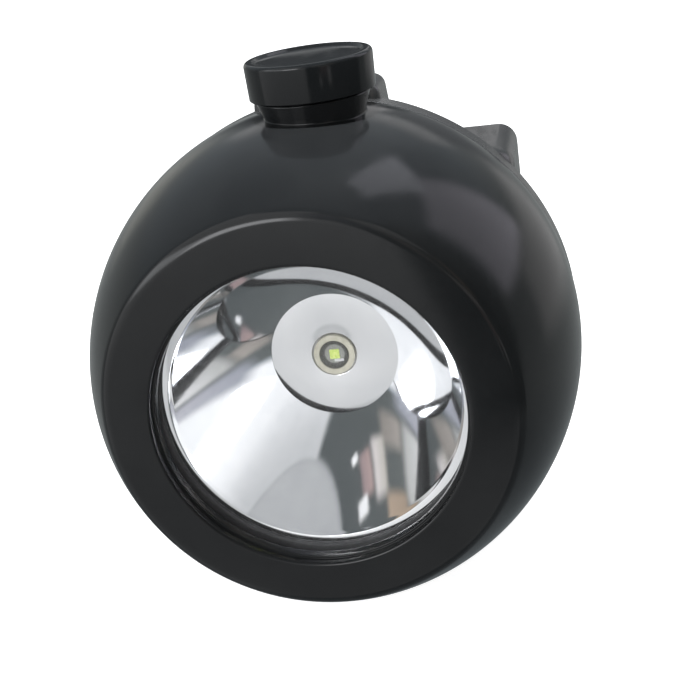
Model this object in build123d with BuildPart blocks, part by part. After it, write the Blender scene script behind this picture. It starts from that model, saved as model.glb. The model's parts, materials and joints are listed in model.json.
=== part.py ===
from build123d import *
import math
import os

os.makedirs("parts", exist_ok=True)

# Cordless miner's cap lamp. Millimetres, +Z up, the beam points along -Y.
# The origin is the middle of the battery housing's back face, on the beam axis:
# the face that lies against the helmet's lamp bracket.
# Depths are measured back from the bezel's lip, along +Y.

# ---------------------------------------------------------------- driving dimensions
BODY_DEPTH = 59.0  # bezel lip to back face
WALL = 2.2  # moulded wall of both shells

DOME_R = 37.2  # largest radius of the front shell
DOME_LENGTH = 44.5  # forward half-axis of the dome's elliptical outline
DOME_MIDDLE = 29.0  # depth of the largest radius
SEAM = 35.7  # depth of the front shell's rear edge
CREST_DEPTH = 1.2  # where the bezel face meets the dome
CREST_FILLET = 2.6
INNER_START = 3.6  # depth where the inner wall starts, behind the collar
COLLAR_R = 26.0  # collar round the lens seat
LIP_FILLET = 0.5
REAR_EDGE_FILLET = 0.6

BEZEL_R = 21.9  # clear opening in the bezel
BEZEL_WALL = 3.2  # depth of the opening before the lens
LENS_SEAT_R = 24.4
LENS_SEAT_END = 8.2
LENS_R = 24.2
LENS_T = 2.1
LENS_SEAL_T = 0.8

RIM_R = 20.9  # reflector's bowl at its rim
APERTURE_R = 9.75  # reflector's bowl at the LED
APERTURE_DEPTH = 24.8
REFLECTOR_T = 1.2
REFLECTOR_FOOT_T = 1.0

LED_DISC_R = 12.0  # metallised disc that floors the bowl
LED_DISC_T = 0.6
LED_DISC_PLAY = 0.2
STAR_R = 10.0
STAR_T = 1.6
STAR_NOTCH_R = 1.4
LED_BASE_R = 3.2
LED_BASE_H = 1.0
LED_CUP_R = 2.35
LED_CUP_DEPTH = 0.55
LED_DOME_R = 2.3
LED_DOME_HOLLOW_R = 1.3
CHIP_SIDE = 1.5
CHIP_T = 0.2

PLATE_R = 33.4  # heat-sink plate
PLATE_T = 2.2
BOARD_R = 24.0  # driver board
BOARD_T = 1.4
BOARD_HOLE_R = 1.1
INDUCTOR_R, INDUCTOR_H, INDUCTOR_PLACE = 4.0, 3.6, (-9.0, 6.0)
CAPACITOR_R, CAPACITOR_H, CAPACITOR_PLACE = 2.5, 3.0, (9.0, -7.0)
IC_H = 1.5
DRIVER_IC_SIZE, DRIVER_IC_PLACE = (6.0, 5.0), (6.0, 5.0)
CHARGER_IC_SIZE, CHARGER_IC_PLACE = (5.0, 4.0), (-7.0, -7.0)
STANDOFF_CIRCLE_R = 20.0
STANDOFF_ANGLES = (30, 150, 270)
STANDOFF_R = 2.3
STANDOFF_PILOT_R = 0.9
STANDOFF_PILOT_L = 4.0
STANDOFF_H = 3.0
LEAD_HOLE_X = 13.5
LEAD_HOLE_R = 1.6
PLATE_SLOT_W = 22.0  # slot in the plate over the switch
SWITCH_SHELF_W = 16.0
SWITCH_SHELF_T = 1.4
SWITCH_SHELF_FRONT = 19.5

FLANGE_R = 36.6  # rear shell's rim
GASKET_T = 0.6
PLATE_BACK = 41.8  # depth of the rear shell's round back
HOUSING_W = 57.8  # battery housing, behind the round back
HOUSING_H = 51.2
HOUSING_CORNER = 3.0
SADDLE_TOP = 37.9  # top of the raised block that carries the helmet clip
SADDLE_HALF_W = 9.7
SADDLE_FRONT = 38.3
SADDLE_BACK = 48.0
SADDLE_CORNER = 2.0
SADDLE_FOOT_SPREAD = 1.2
SADDLE_FOOT_Z = 24.0
SHOULDER_FILLET = 1.8
SEAM_FILLET = 0.4
HOUSING_FILLET = 1.8
HOUSING_INNER_CORNER = 1.4
HOUSING_WALL = 2.0

CASE_SCREW_R = 31.8  # pitch radius of the four case screws
CASE_SCREW_ANGLES = (64, 116, 244, 296)
SINK_SCREW_R = 31.2
SINK_SCREW_ANGLES = (20, 160, 270)
# radius and length of each screw's head and shank
SINK_HEAD_R, SINK_HEAD_H, SINK_SHANK_R, SINK_SHANK_L = 2.4, 1.4, 1.0, 7.5
BOARD_HEAD_R, BOARD_HEAD_H, BOARD_SHANK_R, BOARD_SHANK_L = 1.8, 1.0, 0.85, 4.0
CASE_HEAD_R, CASE_HEAD_H, CASE_SHANK_R, CASE_SHANK_BITE = 2.7, 1.6, 1.25, 4.6
RETAINER_HEAD_R, RETAINER_HEAD_H, RETAINER_SHANK_R, RETAINER_SHANK_BITE = 1.9, 1.1, 0.9, 4.0
CLIP_HEAD_R, CLIP_HEAD_H, CLIP_SHANK_R, CLIP_SHANK_L = 2.6, 1.5, 1.15, 7.5
RECESS_SLOT = 0.7  # width of a cross recess
CASE_RECESS_SPAN, CASE_RECESS_DEPTH = 3.0, 0.9
CLIP_RECESS_SPAN, CLIP_RECESS_DEPTH = 2.8, 0.8
CASE_BOSS_R, CASE_BOSS_L, CASE_PILOT_R, CASE_PILOT_L = 3.3, 5.6, 1.3, 5.0
SINK_BOSS_R, SINK_BOSS_L, SINK_PILOT_R, SINK_PILOT_L = 3.1, 9.0, 1.05, 6.5
SINK_CLEARANCE_R = 1.5
SINK_RIB_R, SINK_RIB_OUT = 1.8, 2.2  # rib that ties each boss to the dome's wall
CASE_COLUMN_R = 3.5
COUNTERBORE_R, COUNTERBORE_DEPTH, SCREW_SEAT_GAP = 2.9, 1.9, 0.1
CASE_CLEARANCE_R = 1.6
POST_R, POST_PILOT_R, POST_PILOT_L = 2.2, 0.95, 6.0

BUTTON_DEPTH = 27.4  # the push button's axis
BUTTON_X = 2.0  # it stands a little to one side
BUTTON_TOP = 45.0
BUTTON_R = 9.35
BUTTON_FOOT_R = 9.2
BUTTON_BOTTOM = 39.6
BUTTON_RIM_FILLET = 0.7
DISH_R = 7.6
DISH_DEPTH = 0.8
DISH_RISE = 0.12
DISH_LIP = 0.35
DISH_LIP_W = 0.5
SKIRT_INNER_R = 8.62
SOCKET_TOP = 43.2
BUTTON_TRAVEL = 1.5
TURRET_TOP = 39.3
TURRET_OUTLINE = ((7.1, 33.0), (7.4, 36.6), (8.35, TURRET_TOP))  # radius, height
TURRET_POCKET_R = 6.2
STEM_R = 2.5
STEM_BORE_R = 2.56
STEM_SEAL_R = 3.95
STEM_SEAL_H = 1.2
STEM_SEAL_POCKET = 1.3
GROOVE_Z = 32.1  # groove for the retaining clip
GROOVE_H = 0.7
GROOVE_R = 1.9
STEM_CLIP_R = 4.0
STEM_CLIP_SLOT = 3.2
STEM_CLIP_PLAY = 0.05
SPRING_SEAT = 35.5
BUTTON_CEILING = 42.3  # underside of the cap, where the spring bears
SPRING_R = 4.9
SPRING_WIRE_R = 0.3
SPRING_TURNS = 5
SPRING_PLAY = 0.05

CLIP_W = 19.0  # helmet clip, a bent steel strip
CLIP_T = 1.2
CLIP_GAP = 5.0  # room for the helmet's bracket plate
CLIP_LOW = -15.0
CLIP_RUN_Z = 27.4  # underside of the strip's run above the housing
CLIP_SCREW_Z = 33.0
CLIP_SCREW_X = 5.2
CLIP_HOLE_R = 1.6
CLIP_PILOT_R, CLIP_PILOT_L = 1.2, 7.0
CLIP_TOP_MARGIN = 2.0  # saddle left bare above the strip
CLIP_END_R = 4.0
CLIP_BENDS = (1.4, 3.0, 3.0)
CLIP_TIP_H = 4.0  # the free end turns out over this height
CLIP_TIP_OUT = 1.6

CELL_W = 50.0  # prismatic lithium-ion cell
CELL_H = 34.0
CELL_T = 10.5
CELL_FRONT = 44.2
CELL_CORNER = 1.5
CELL_EDGE_FILLET = 1.2
PAD_SIDE_MARGIN = 7.0
PAD_END_MARGIN = 2.0
POST_X, POST_Z = 22.0, 20.0
RETAINER_T = 1.6
RETAINER_MARGIN = 2.5
RETAINER_CORNER = 2.0
RETAINER_WINDOW = (34.0, 20.0)
RETAINER_HOLE_R = 1.2

CONTACT_X = 14.0  # charging contacts under the housing
CONTACT_DEPTH = 50.0
CONTACT_R = 3.0
CONTACT_PROUD = 0.6
CONTACT_SHANK_R, CONTACT_SHANK_L = 1.6, 4.0
CONTACT_HOLE_R = 1.65
CONTACT_NUT_R, CONTACT_NUT_H = 2.9, 1.4

GASKET_OUTER_R = DOME_R - 1.1
GASKET_INNER_R = DOME_R - 2.6

LEAD_R = 0.6
LED_LEAD_BEND = 1.6
CELL_LEAD_BEND = 2.4
CELL_LEAD_Z = -1.5
CELL_LEAD_X = (2.5, 6.0)  # at the board and at the cell
CELL_LEAD_RUNS = (3.4, 4.0)

# ---------------------------------------------------------------- derived places
SEAT_BACK = BEZEL_WALL + LENS_T
RIM_DEPTH = SEAT_BACK + LENS_SEAL_T
STAR_FRONT = APERTURE_DEPTH + 0.05 + LED_DISC_T
PLATE_FRONT = STAR_FRONT + STAR_T
PLATE_REAR = PLATE_FRONT + PLATE_T
BOARD_FRONT = PLATE_REAR + STANDOFF_H
BOARD_REAR = BOARD_FRONT + BOARD_T
FLANGE_FRONT = SEAM + GASKET_T
BUTTON_Y = BUTTON_DEPTH - BODY_DEPTH
BUTTON_AXIS = Axis((BUTTON_X, BUTTON_Y, 0), (0, 0, 1))
BUTTON_PLANE = Plane(origin=(BUTTON_X, BUTTON_Y, 0), x_dir=(1, 0, 0), z_dir=(0, -1, 0))
SWITCH_SHELF_Z = 18.0  # top of the heat sink's shelf
SWITCH_BOARD_T = 1.2
SWITCH_BOARD_BACK = 31.9
SWITCH_BOARD_SIZE = (17.0, 12.0)
SWITCH_SIDE = 8.5
SWITCH_CORNER = 0.6
SWITCH_H = 7.4
SWITCH_BOTTOM = SWITCH_SHELF_Z + SWITCH_BOARD_T
SWITCH_TOP = SWITCH_BOTTOM + SWITCH_H
PLUNGER_TOP = 30.6
PLUNGER_LOW = 24.4
PLUNGER_R = 1.5
PLUNGER_PLAY = 0.06
PLUNGER_ROOM = 0.5  # left under the plunger when it is pressed
SPRING_LOW = SPRING_SEAT + SPRING_WIRE_R + SPRING_PLAY
SPRING_HIGH = BUTTON_CEILING - SPRING_WIRE_R - SPRING_PLAY
PLATE_INNER = PLATE_BACK - WALL
POST_FRONT = CELL_FRONT - 0.2


def y_at(depth):
    """The y of a depth behind the bezel's lip."""
    return depth - BODY_DEPTH


def across(depth):
    """A plane across the beam; an extrusion from it goes forward."""
    return Plane.XZ.offset(-y_at(depth))


def polar_points(radius, angles):
    """Points on a circle about the beam, as (x, z)."""
    points = []
    for angle in angles:
        turn = math.radians(angle)
        points.append((radius * math.cos(turn), radius * math.sin(turn)))
    return points


def ellipse_radius(depth, inset=0.0):
    """The dome's radius at a depth, for the outer skin or an inset one."""
    along = (DOME_MIDDLE - depth) / (DOME_LENGTH - inset)
    return (DOME_R - inset) * math.sqrt(1 - along * along)


def ellipse_angle(depth, inset=0.0):
    """The angle on the dome's ellipse at a depth, in degrees."""
    return math.degrees(math.asin((depth - DOME_MIDDLE) / (DOME_LENGTH - inset)))


def lead_part(points, radii):
    """One insulated lead along straight runs joined by tangent arcs."""
    with BuildPart() as lead:
        with BuildLine() as route:
            path = FilletPolyline(*points, radius=radii)
        with BuildSketch(Plane(origin=path @ 0, z_dir=path % 0)):
            Circle(LEAD_R)
        sweep(path=route.line)
    return lead.part


case_screw_points = polar_points(CASE_SCREW_R, CASE_SCREW_ANGLES)
sink_screw_points = polar_points(SINK_SCREW_R, SINK_SCREW_ANGLES)

# ---------------------------------------------------------------- front shell
DOME_CENTRE = (0, y_at(DOME_MIDDLE))

with BuildPart() as front_shell:
    with BuildSketch(Plane.XY) as shell_profile:
        with BuildLine():
            Polyline(
                (ellipse_radius(INNER_START, WALL), y_at(INNER_START)),
                (COLLAR_R, y_at(INNER_START)),
                (COLLAR_R, y_at(LENS_SEAT_END)),
                (LENS_SEAT_R, y_at(LENS_SEAT_END)),
                (LENS_SEAT_R, y_at(BEZEL_WALL)),
                (BEZEL_R, y_at(BEZEL_WALL)),
                (BEZEL_R, y_at(0)),
                (ellipse_radius(CREST_DEPTH), y_at(CREST_DEPTH)),
            )
            EllipticalCenterArc(
                DOME_CENTRE,
                DOME_R,
                DOME_LENGTH,
                start_angle=ellipse_angle(CREST_DEPTH),
                arc_size=ellipse_angle(SEAM) - ellipse_angle(CREST_DEPTH),
            )
            Line(
                (ellipse_radius(SEAM), y_at(SEAM)),
                (ellipse_radius(SEAM, WALL), y_at(SEAM)),
            )
            EllipticalCenterArc(
                DOME_CENTRE,
                DOME_R - WALL,
                DOME_LENGTH - WALL,
                start_angle=ellipse_angle(INNER_START, WALL),
                arc_size=ellipse_angle(SEAM, WALL) - ellipse_angle(INNER_START, WALL),
            )
        make_face()
        crest = shell_profile.vertices().sort_by_distance(
            (ellipse_radius(CREST_DEPTH), y_at(CREST_DEPTH))
        )[0]
        fillet(crest, CREST_FILLET)
        lip = shell_profile.vertices().sort_by_distance((BEZEL_R, y_at(0)))[0]
        fillet(lip, LIP_FILLET)
        seam_edge = shell_profile.vertices().sort_by_distance(
            (ellipse_radius(SEAM), y_at(SEAM))
        )[0]
        fillet(seam_edge, REAR_EDGE_FILLET)
    revolve(axis=Axis.Y)
    # the turret under the push button flares towards its top
    with BuildSketch(BUTTON_PLANE):
        Polygon((0, TURRET_OUTLINE[0][1]), *TURRET_OUTLINE, (0, TURRET_TOP), align=None)
    revolve(axis=BUTTON_AXIS)
    # guide bore, seal pocket and spring seat
    for top, radius, height in (
        (TURRET_TOP, STEM_BORE_R, TURRET_TOP - TURRET_OUTLINE[0][1] + WALL),
        (TURRET_TOP, TURRET_POCKET_R, TURRET_TOP - SPRING_SEAT),
        (SPRING_SEAT, STEM_SEAL_R, STEM_SEAL_POCKET),
    ):
        with BuildSketch(Plane.XY.offset(top)):
            with Locations((BUTTON_X, BUTTON_Y)):
                Circle(radius)
        extrude(amount=-height, mode=Mode.SUBTRACT)
    # bosses for the case screws, open to the rear
    with BuildSketch(across(SEAM)):
        with Locations(*case_screw_points):
            Circle(CASE_BOSS_R)
            Circle(CASE_PILOT_R, mode=Mode.SUBTRACT)
    extrude(amount=CASE_BOSS_L)
    with BuildSketch(across(SEAM)):
        with Locations(*case_screw_points):
            Circle(CASE_PILOT_R)
    extrude(amount=CASE_PILOT_L, mode=Mode.SUBTRACT)
    # bosses for the heat-sink screws
    with BuildSketch(across(PLATE_FRONT)):
        with Locations(*sink_screw_points):
            Circle(SINK_BOSS_R)
    extrude(amount=SINK_BOSS_L)
    with BuildSketch(across(PLATE_FRONT)):
        with Locations(*polar_points(SINK_SCREW_R + SINK_RIB_OUT, SINK_SCREW_ANGLES)):
            Circle(SINK_RIB_R)
    extrude(amount=SINK_BOSS_L)
    with BuildSketch(across(PLATE_FRONT)):
        with Locations(*sink_screw_points):
            Circle(SINK_PILOT_R)
    extrude(amount=SINK_PILOT_L, mode=Mode.SUBTRACT)
front_shell.part.label = "front_shell"
export_step(front_shell.part, "parts/front_shell.step")

# ---------------------------------------------------------------- lens and its seal
with BuildPart() as lens:
    with BuildSketch(across(SEAT_BACK)):
        Circle(LENS_R)
    extrude(amount=LENS_T)
lens.part.label = "lens"
export_step(lens.part, "parts/lens.step")

with BuildPart() as lens_seal:
    with BuildSketch(across(RIM_DEPTH)):
        Circle(LENS_R)
        Circle(BEZEL_R, mode=Mode.SUBTRACT)
    extrude(amount=LENS_SEAL_T)
lens_seal.part.label = "lens_seal"
export_step(lens_seal.part, "parts/lens_seal.step")

# ---------------------------------------------------------------- reflector
# A paraboloid has radius^2 = k * (vertex - depth); a quadratic Bezier is exactly a parabola.
PARABOLA_K = (RIM_R**2 - APERTURE_R**2) / (APERTURE_DEPTH - RIM_DEPTH)
VERTEX_DEPTH = APERTURE_DEPTH + APERTURE_R**2 / PARABOLA_K
CONTROL_DEPTH = VERTEX_DEPTH - RIM_R * APERTURE_R / PARABOLA_K
CONTROL_R = (RIM_R + APERTURE_R) / 2
FLANGE_BACK = RIM_DEPTH + REFLECTOR_T
FOOT_FRONT = APERTURE_DEPTH - REFLECTOR_FOOT_T
FOOT_R = LED_DISC_R - 0.4

with BuildPart() as reflector:
    with BuildSketch(Plane.XY):
        with BuildLine():
            Bezier(
                (RIM_R, y_at(RIM_DEPTH)),
                (CONTROL_R, y_at(CONTROL_DEPTH)),
                (APERTURE_R, y_at(APERTURE_DEPTH)),
            )
            Polyline(
                (APERTURE_R, y_at(APERTURE_DEPTH)),
                (FOOT_R, y_at(APERTURE_DEPTH)),
                (FOOT_R, y_at(FOOT_FRONT)),
            )
            Bezier(
                (FOOT_R, y_at(FOOT_FRONT)),
                (CONTROL_R + REFLECTOR_T + 0.5, y_at(CONTROL_DEPTH)),
                (RIM_R + REFLECTOR_T, y_at(FLANGE_BACK)),
            )
            Polyline(
                (RIM_R + REFLECTOR_T, y_at(FLANGE_BACK)),
                (LENS_R, y_at(FLANGE_BACK)),
                (LENS_R, y_at(RIM_DEPTH)),
                (RIM_R, y_at(RIM_DEPTH)),
            )
        make_face()
    revolve(axis=Axis.Y)
reflector.part.label = "reflector"
export_step(reflector.part, "parts/reflector.step")

# ---------------------------------------------------------------- LED
with BuildPart() as led_disc:
    with BuildSketch(across(STAR_FRONT)):
        Circle(LED_DISC_R)
        Circle(LED_BASE_R + LED_DISC_PLAY, mode=Mode.SUBTRACT)
    extrude(amount=LED_DISC_T)
led_disc.part.label = "led_disc"
export_step(led_disc.part, "parts/led_disc.step")

with BuildPart() as star_board:
    with BuildSketch(across(PLATE_FRONT)):
        Circle(STAR_R)
        with PolarLocations(STAR_R, 6):
            Circle(STAR_NOTCH_R, mode=Mode.SUBTRACT)
    extrude(amount=STAR_T)
star_board.part.label = "star_board"
export_step(star_board.part, "parts/star_board.step")

LED_TOP = STAR_FRONT - LED_BASE_H
with BuildPart() as led_base:
    with BuildSketch(across(STAR_FRONT)):
        Circle(LED_BASE_R)
    extrude(amount=LED_BASE_H)
    with BuildSketch(across(LED_TOP + LED_CUP_DEPTH)):
        Circle(LED_CUP_R)
    extrude(amount=LED_CUP_DEPTH, mode=Mode.SUBTRACT)
led_base.part.label = "led_base"
export_step(led_base.part, "parts/led_base.step")

with BuildPart() as led_chip:
    with BuildSketch(across(LED_TOP + LED_CUP_DEPTH)):
        Rectangle(CHIP_SIDE, CHIP_SIDE)
    extrude(amount=CHIP_T)
led_chip.part.label = "led_chip"
export_step(led_chip.part, "parts/led_chip.step")

# the clear dome sits in the cup and is hollow over the chip
with BuildPart() as led_dome:
    with BuildSketch(Plane.XY):
        with Locations((0, y_at(LED_TOP + LED_CUP_DEPTH))):
            Circle(LED_DOME_R)
            Circle(LED_DOME_HOLLOW_R, mode=Mode.SUBTRACT)
            Rectangle(
                3 * LED_DOME_R,
                2 * LED_DOME_R,
                align=(Align.CENTER, Align.MIN),
                mode=Mode.SUBTRACT,
            )
            Rectangle(
                2 * LED_DOME_R,
                3 * LED_DOME_R,
                align=(Align.MAX, Align.CENTER),
                mode=Mode.SUBTRACT,
            )
    revolve(axis=Axis.Y)
led_dome.part.label = "led_dome"
export_step(led_dome.part, "parts/led_dome.step")

# ---------------------------------------------------------------- heat sink
standoff_points = polar_points(STANDOFF_CIRCLE_R, STANDOFF_ANGLES)

with BuildPart() as heat_sink:
    with BuildSketch(across(PLATE_REAR)):
        Circle(PLATE_R)
        with Locations((0, PLATE_R)):
            Rectangle(PLATE_SLOT_W, 2 * (PLATE_R - SWITCH_SHELF_Z), mode=Mode.SUBTRACT)
        with Locations((-LEAD_HOLE_X, 0), (LEAD_HOLE_X, 0)):
            Circle(LEAD_HOLE_R, mode=Mode.SUBTRACT)
        with Locations(*sink_screw_points):
            Circle(SINK_CLEARANCE_R, mode=Mode.SUBTRACT)
    extrude(amount=PLATE_T)
    # shelf under the switch board
    with BuildSketch(Plane.XY.offset(SWITCH_SHELF_Z)):
        with Locations((0, y_at(PLATE_REAR))):
            Rectangle(
                SWITCH_SHELF_W, PLATE_REAR - SWITCH_SHELF_FRONT, align=(Align.CENTER, Align.MAX)
            )
    extrude(amount=-SWITCH_SHELF_T)
    # standoffs for the driver board
    with BuildSketch(across(BOARD_FRONT)):
        with Locations(*standoff_points):
            Circle(STANDOFF_R)
    extrude(amount=STANDOFF_H)
    with BuildSketch(across(BOARD_FRONT)):
        with Locations(*standoff_points):
            Circle(STANDOFF_PILOT_R)
    extrude(amount=STANDOFF_PILOT_L, mode=Mode.SUBTRACT)
heat_sink.part.label = "heat_sink"
export_step(heat_sink.part, "parts/heat_sink.step")

with BuildPart() as heat_sink_screws:
    with BuildSketch(across(PLATE_REAR + SINK_HEAD_H)):
        with Locations(*sink_screw_points):
            Circle(SINK_HEAD_R)
    extrude(amount=SINK_HEAD_H)
    with BuildSketch(across(PLATE_REAR)):
        with Locations(*sink_screw_points):
            Circle(SINK_SHANK_R)
    extrude(amount=SINK_SHANK_L)
heat_sink_screws.part.label = "heat_sink_screws"
export_step(heat_sink_screws.part, "parts/heat_sink_screws.step")

# ---------------------------------------------------------------- driver board
with BuildPart() as driver_board:
    with BuildSketch(across(BOARD_REAR)):
        Circle(BOARD_R)
        with Locations(*standoff_points):
            Circle(BOARD_HOLE_R, mode=Mode.SUBTRACT)
    extrude(amount=BOARD_T)
driver_board.part.label = "driver_board"
export_step(driver_board.part, "parts/driver_board.step")

with BuildPart() as driver_board_screws:
    with BuildSketch(across(BOARD_REAR + BOARD_HEAD_H)):
        with Locations(*standoff_points):
            Circle(BOARD_HEAD_R)
    extrude(amount=BOARD_HEAD_H)
    with BuildSketch(across(BOARD_REAR)):
        with Locations(*standoff_points):
            Circle(BOARD_SHANK_R)
    extrude(amount=BOARD_SHANK_L)
driver_board_screws.part.label = "driver_board_screws"
export_step(driver_board_screws.part, "parts/driver_board_screws.step")

# inductor, capacitor and two chips on the rear side
with BuildPart() as driver_components:
    with BuildSketch(across(BOARD_REAR + INDUCTOR_H)):
        with Locations(INDUCTOR_PLACE):
            Circle(INDUCTOR_R)
    extrude(amount=INDUCTOR_H)
    with BuildSketch(across(BOARD_REAR + CAPACITOR_H)):
        with Locations(CAPACITOR_PLACE):
            Circle(CAPACITOR_R)
    extrude(amount=CAPACITOR_H)
    with BuildSketch(across(BOARD_REAR + IC_H)):
        with Locations(DRIVER_IC_PLACE):
            Rectangle(*DRIVER_IC_SIZE)
        with Locations(CHARGER_IC_PLACE):
            Rectangle(*CHARGER_IC_SIZE)
    extrude(amount=IC_H)
driver_components.part.label = "driver_components"
export_step(driver_components.part, "parts/driver_components.step")

# ---------------------------------------------------------------- push switch under the button
with BuildPart() as switch_board:
    with BuildSketch(Plane.XY.offset(SWITCH_SHELF_Z)):
        with Locations((BUTTON_X, y_at(SWITCH_BOARD_BACK))):
            Rectangle(*SWITCH_BOARD_SIZE, align=(Align.CENTER, Align.MAX))
    extrude(amount=SWITCH_BOARD_T)
switch_board.part.label = "switch_board"
export_step(switch_board.part, "parts/switch_board.step")

with BuildPart() as push_switch:
    with BuildSketch(Plane.XY.offset(SWITCH_BOTTOM)):
        with Locations((BUTTON_X, BUTTON_Y)):
            Rectangle(SWITCH_SIDE, SWITCH_SIDE)
    extrude(amount=SWITCH_H)
    fillet(push_switch.edges().filter_by(Axis.Z), SWITCH_CORNER)
    with BuildSketch(Plane.XY.offset(SWITCH_TOP)):
        with Locations((BUTTON_X, BUTTON_Y)):
            Circle(PLUNGER_R + PLUNGER_PLAY)
    extrude(amount=-(SWITCH_TOP - PLUNGER_LOW + BUTTON_TRAVEL + PLUNGER_ROOM), mode=Mode.SUBTRACT)
push_switch.part.label = "push_switch"
export_step(push_switch.part, "parts/push_switch.step")

with BuildPart() as switch_plunger:
    with BuildSketch(Plane.XY.offset(PLUNGER_LOW)):
        with Locations((BUTTON_X, BUTTON_Y)):
            Circle(PLUNGER_R)
    extrude(amount=PLUNGER_TOP - PLUNGER_LOW)
switch_plunger.part.label = "switch_plunger"
export_step(switch_plunger.part, "parts/switch_plunger.step")

# ---------------------------------------------------------------- push button
with BuildPart() as button_cap:
    with BuildSketch(BUTTON_PLANE) as cap_profile:
        with BuildLine():
            dish = ThreePointArc(
                (0, BUTTON_TOP - DISH_DEPTH),
                (DISH_R / 2, BUTTON_TOP - DISH_DEPTH + DISH_RISE),
                (DISH_R, BUTTON_TOP - DISH_LIP),
            )
            Polyline(
                dish @ 1,
                (DISH_R + DISH_LIP_W, BUTTON_TOP),
                (BUTTON_R, BUTTON_TOP),
                (BUTTON_FOOT_R, BUTTON_BOTTOM),
                (SKIRT_INNER_R, BUTTON_BOTTOM),
                (SKIRT_INNER_R, BUTTON_CEILING),
                (STEM_R, BUTTON_CEILING),
                (STEM_R, SOCKET_TOP),
                (0, SOCKET_TOP),
                (0, BUTTON_TOP - DISH_DEPTH),
            )
        make_face()
        rim = cap_profile.vertices().sort_by_distance((BUTTON_R, BUTTON_TOP))[0]
        fillet(rim, BUTTON_RIM_FILLET)
    revolve(axis=BUTTON_AXIS)
button_cap.part.label = "button_cap"
export_step(button_cap.part, "parts/button_cap.step")

with BuildPart() as button_stem:
    with BuildSketch(Plane.XY.offset(PLUNGER_TOP)):
        with Locations((BUTTON_X, BUTTON_Y)):
            Circle(STEM_R)
    extrude(amount=SOCKET_TOP - PLUNGER_TOP)
    with BuildSketch(Plane.XY.offset(GROOVE_Z)):
        with Locations((BUTTON_X, BUTTON_Y)):
            Circle(STEM_R + 1)
            Circle(GROOVE_R, mode=Mode.SUBTRACT)
    extrude(amount=GROOVE_H, mode=Mode.SUBTRACT)
button_stem.part.label = "button_stem"
export_step(button_stem.part, "parts/button_stem.step")

with BuildPart() as stem_clip:
    with BuildSketch(Plane.XY.offset(GROOVE_Z + STEM_CLIP_PLAY)):
        with Locations((BUTTON_X, BUTTON_Y)):
            Circle(STEM_CLIP_R)
            Circle(GROOVE_R + STEM_CLIP_PLAY, mode=Mode.SUBTRACT)
            Rectangle(
                STEM_CLIP_R + 1,
                STEM_CLIP_SLOT,
                align=(Align.MIN, Align.CENTER),
                mode=Mode.SUBTRACT,
            )
    extrude(amount=GROOVE_H - 2 * STEM_CLIP_PLAY)
stem_clip.part.label = "stem_clip"
export_step(stem_clip.part, "parts/stem_clip.step")

with BuildPart() as stem_seal:
    with BuildSketch(Plane.XY.offset(SPRING_SEAT - STEM_SEAL_POCKET)):
        with Locations((BUTTON_X, BUTTON_Y)):
            Circle(STEM_SEAL_R)
            Circle(STEM_BORE_R, mode=Mode.SUBTRACT)
    extrude(amount=STEM_SEAL_H)
stem_seal.part.label = "stem_seal"
export_step(stem_seal.part, "parts/stem_seal.step")

with BuildPart() as button_spring:
    with BuildLine():
        coil = Helix(
            pitch=(SPRING_HIGH - SPRING_LOW) / SPRING_TURNS,
            height=SPRING_HIGH - SPRING_LOW,
            radius=SPRING_R,
            center=(BUTTON_X, BUTTON_Y, SPRING_LOW),
        )
    with BuildSketch(Plane(origin=coil @ 0, z_dir=coil % 0)):
        Circle(SPRING_WIRE_R)
    sweep(path=coil, is_frenet=True)
button_spring.part.label = "button_spring"
export_step(button_spring.part, "parts/button_spring.step")

# ---------------------------------------------------------------- gasket between the shells
with BuildPart() as body_gasket:
    with BuildSketch(across(FLANGE_FRONT)):
        Circle(GASKET_OUTER_R)
        Circle(GASKET_INNER_R, mode=Mode.SUBTRACT)
    extrude(amount=GASKET_T)
body_gasket.part.label = "body_gasket"
export_step(body_gasket.part, "parts/body_gasket.step")

# ---------------------------------------------------------------- rear shell
post_points = [(x, z) for z in (-POST_Z, POST_Z) for x in (-POST_X, POST_X)]
clip_screw_points = ((-CLIP_SCREW_X, CLIP_SCREW_Z), (CLIP_SCREW_X, CLIP_SCREW_Z))
contact_points = (
    (-CONTACT_X, y_at(CONTACT_DEPTH)),
    (CONTACT_X, y_at(CONTACT_DEPTH)),
)

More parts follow.
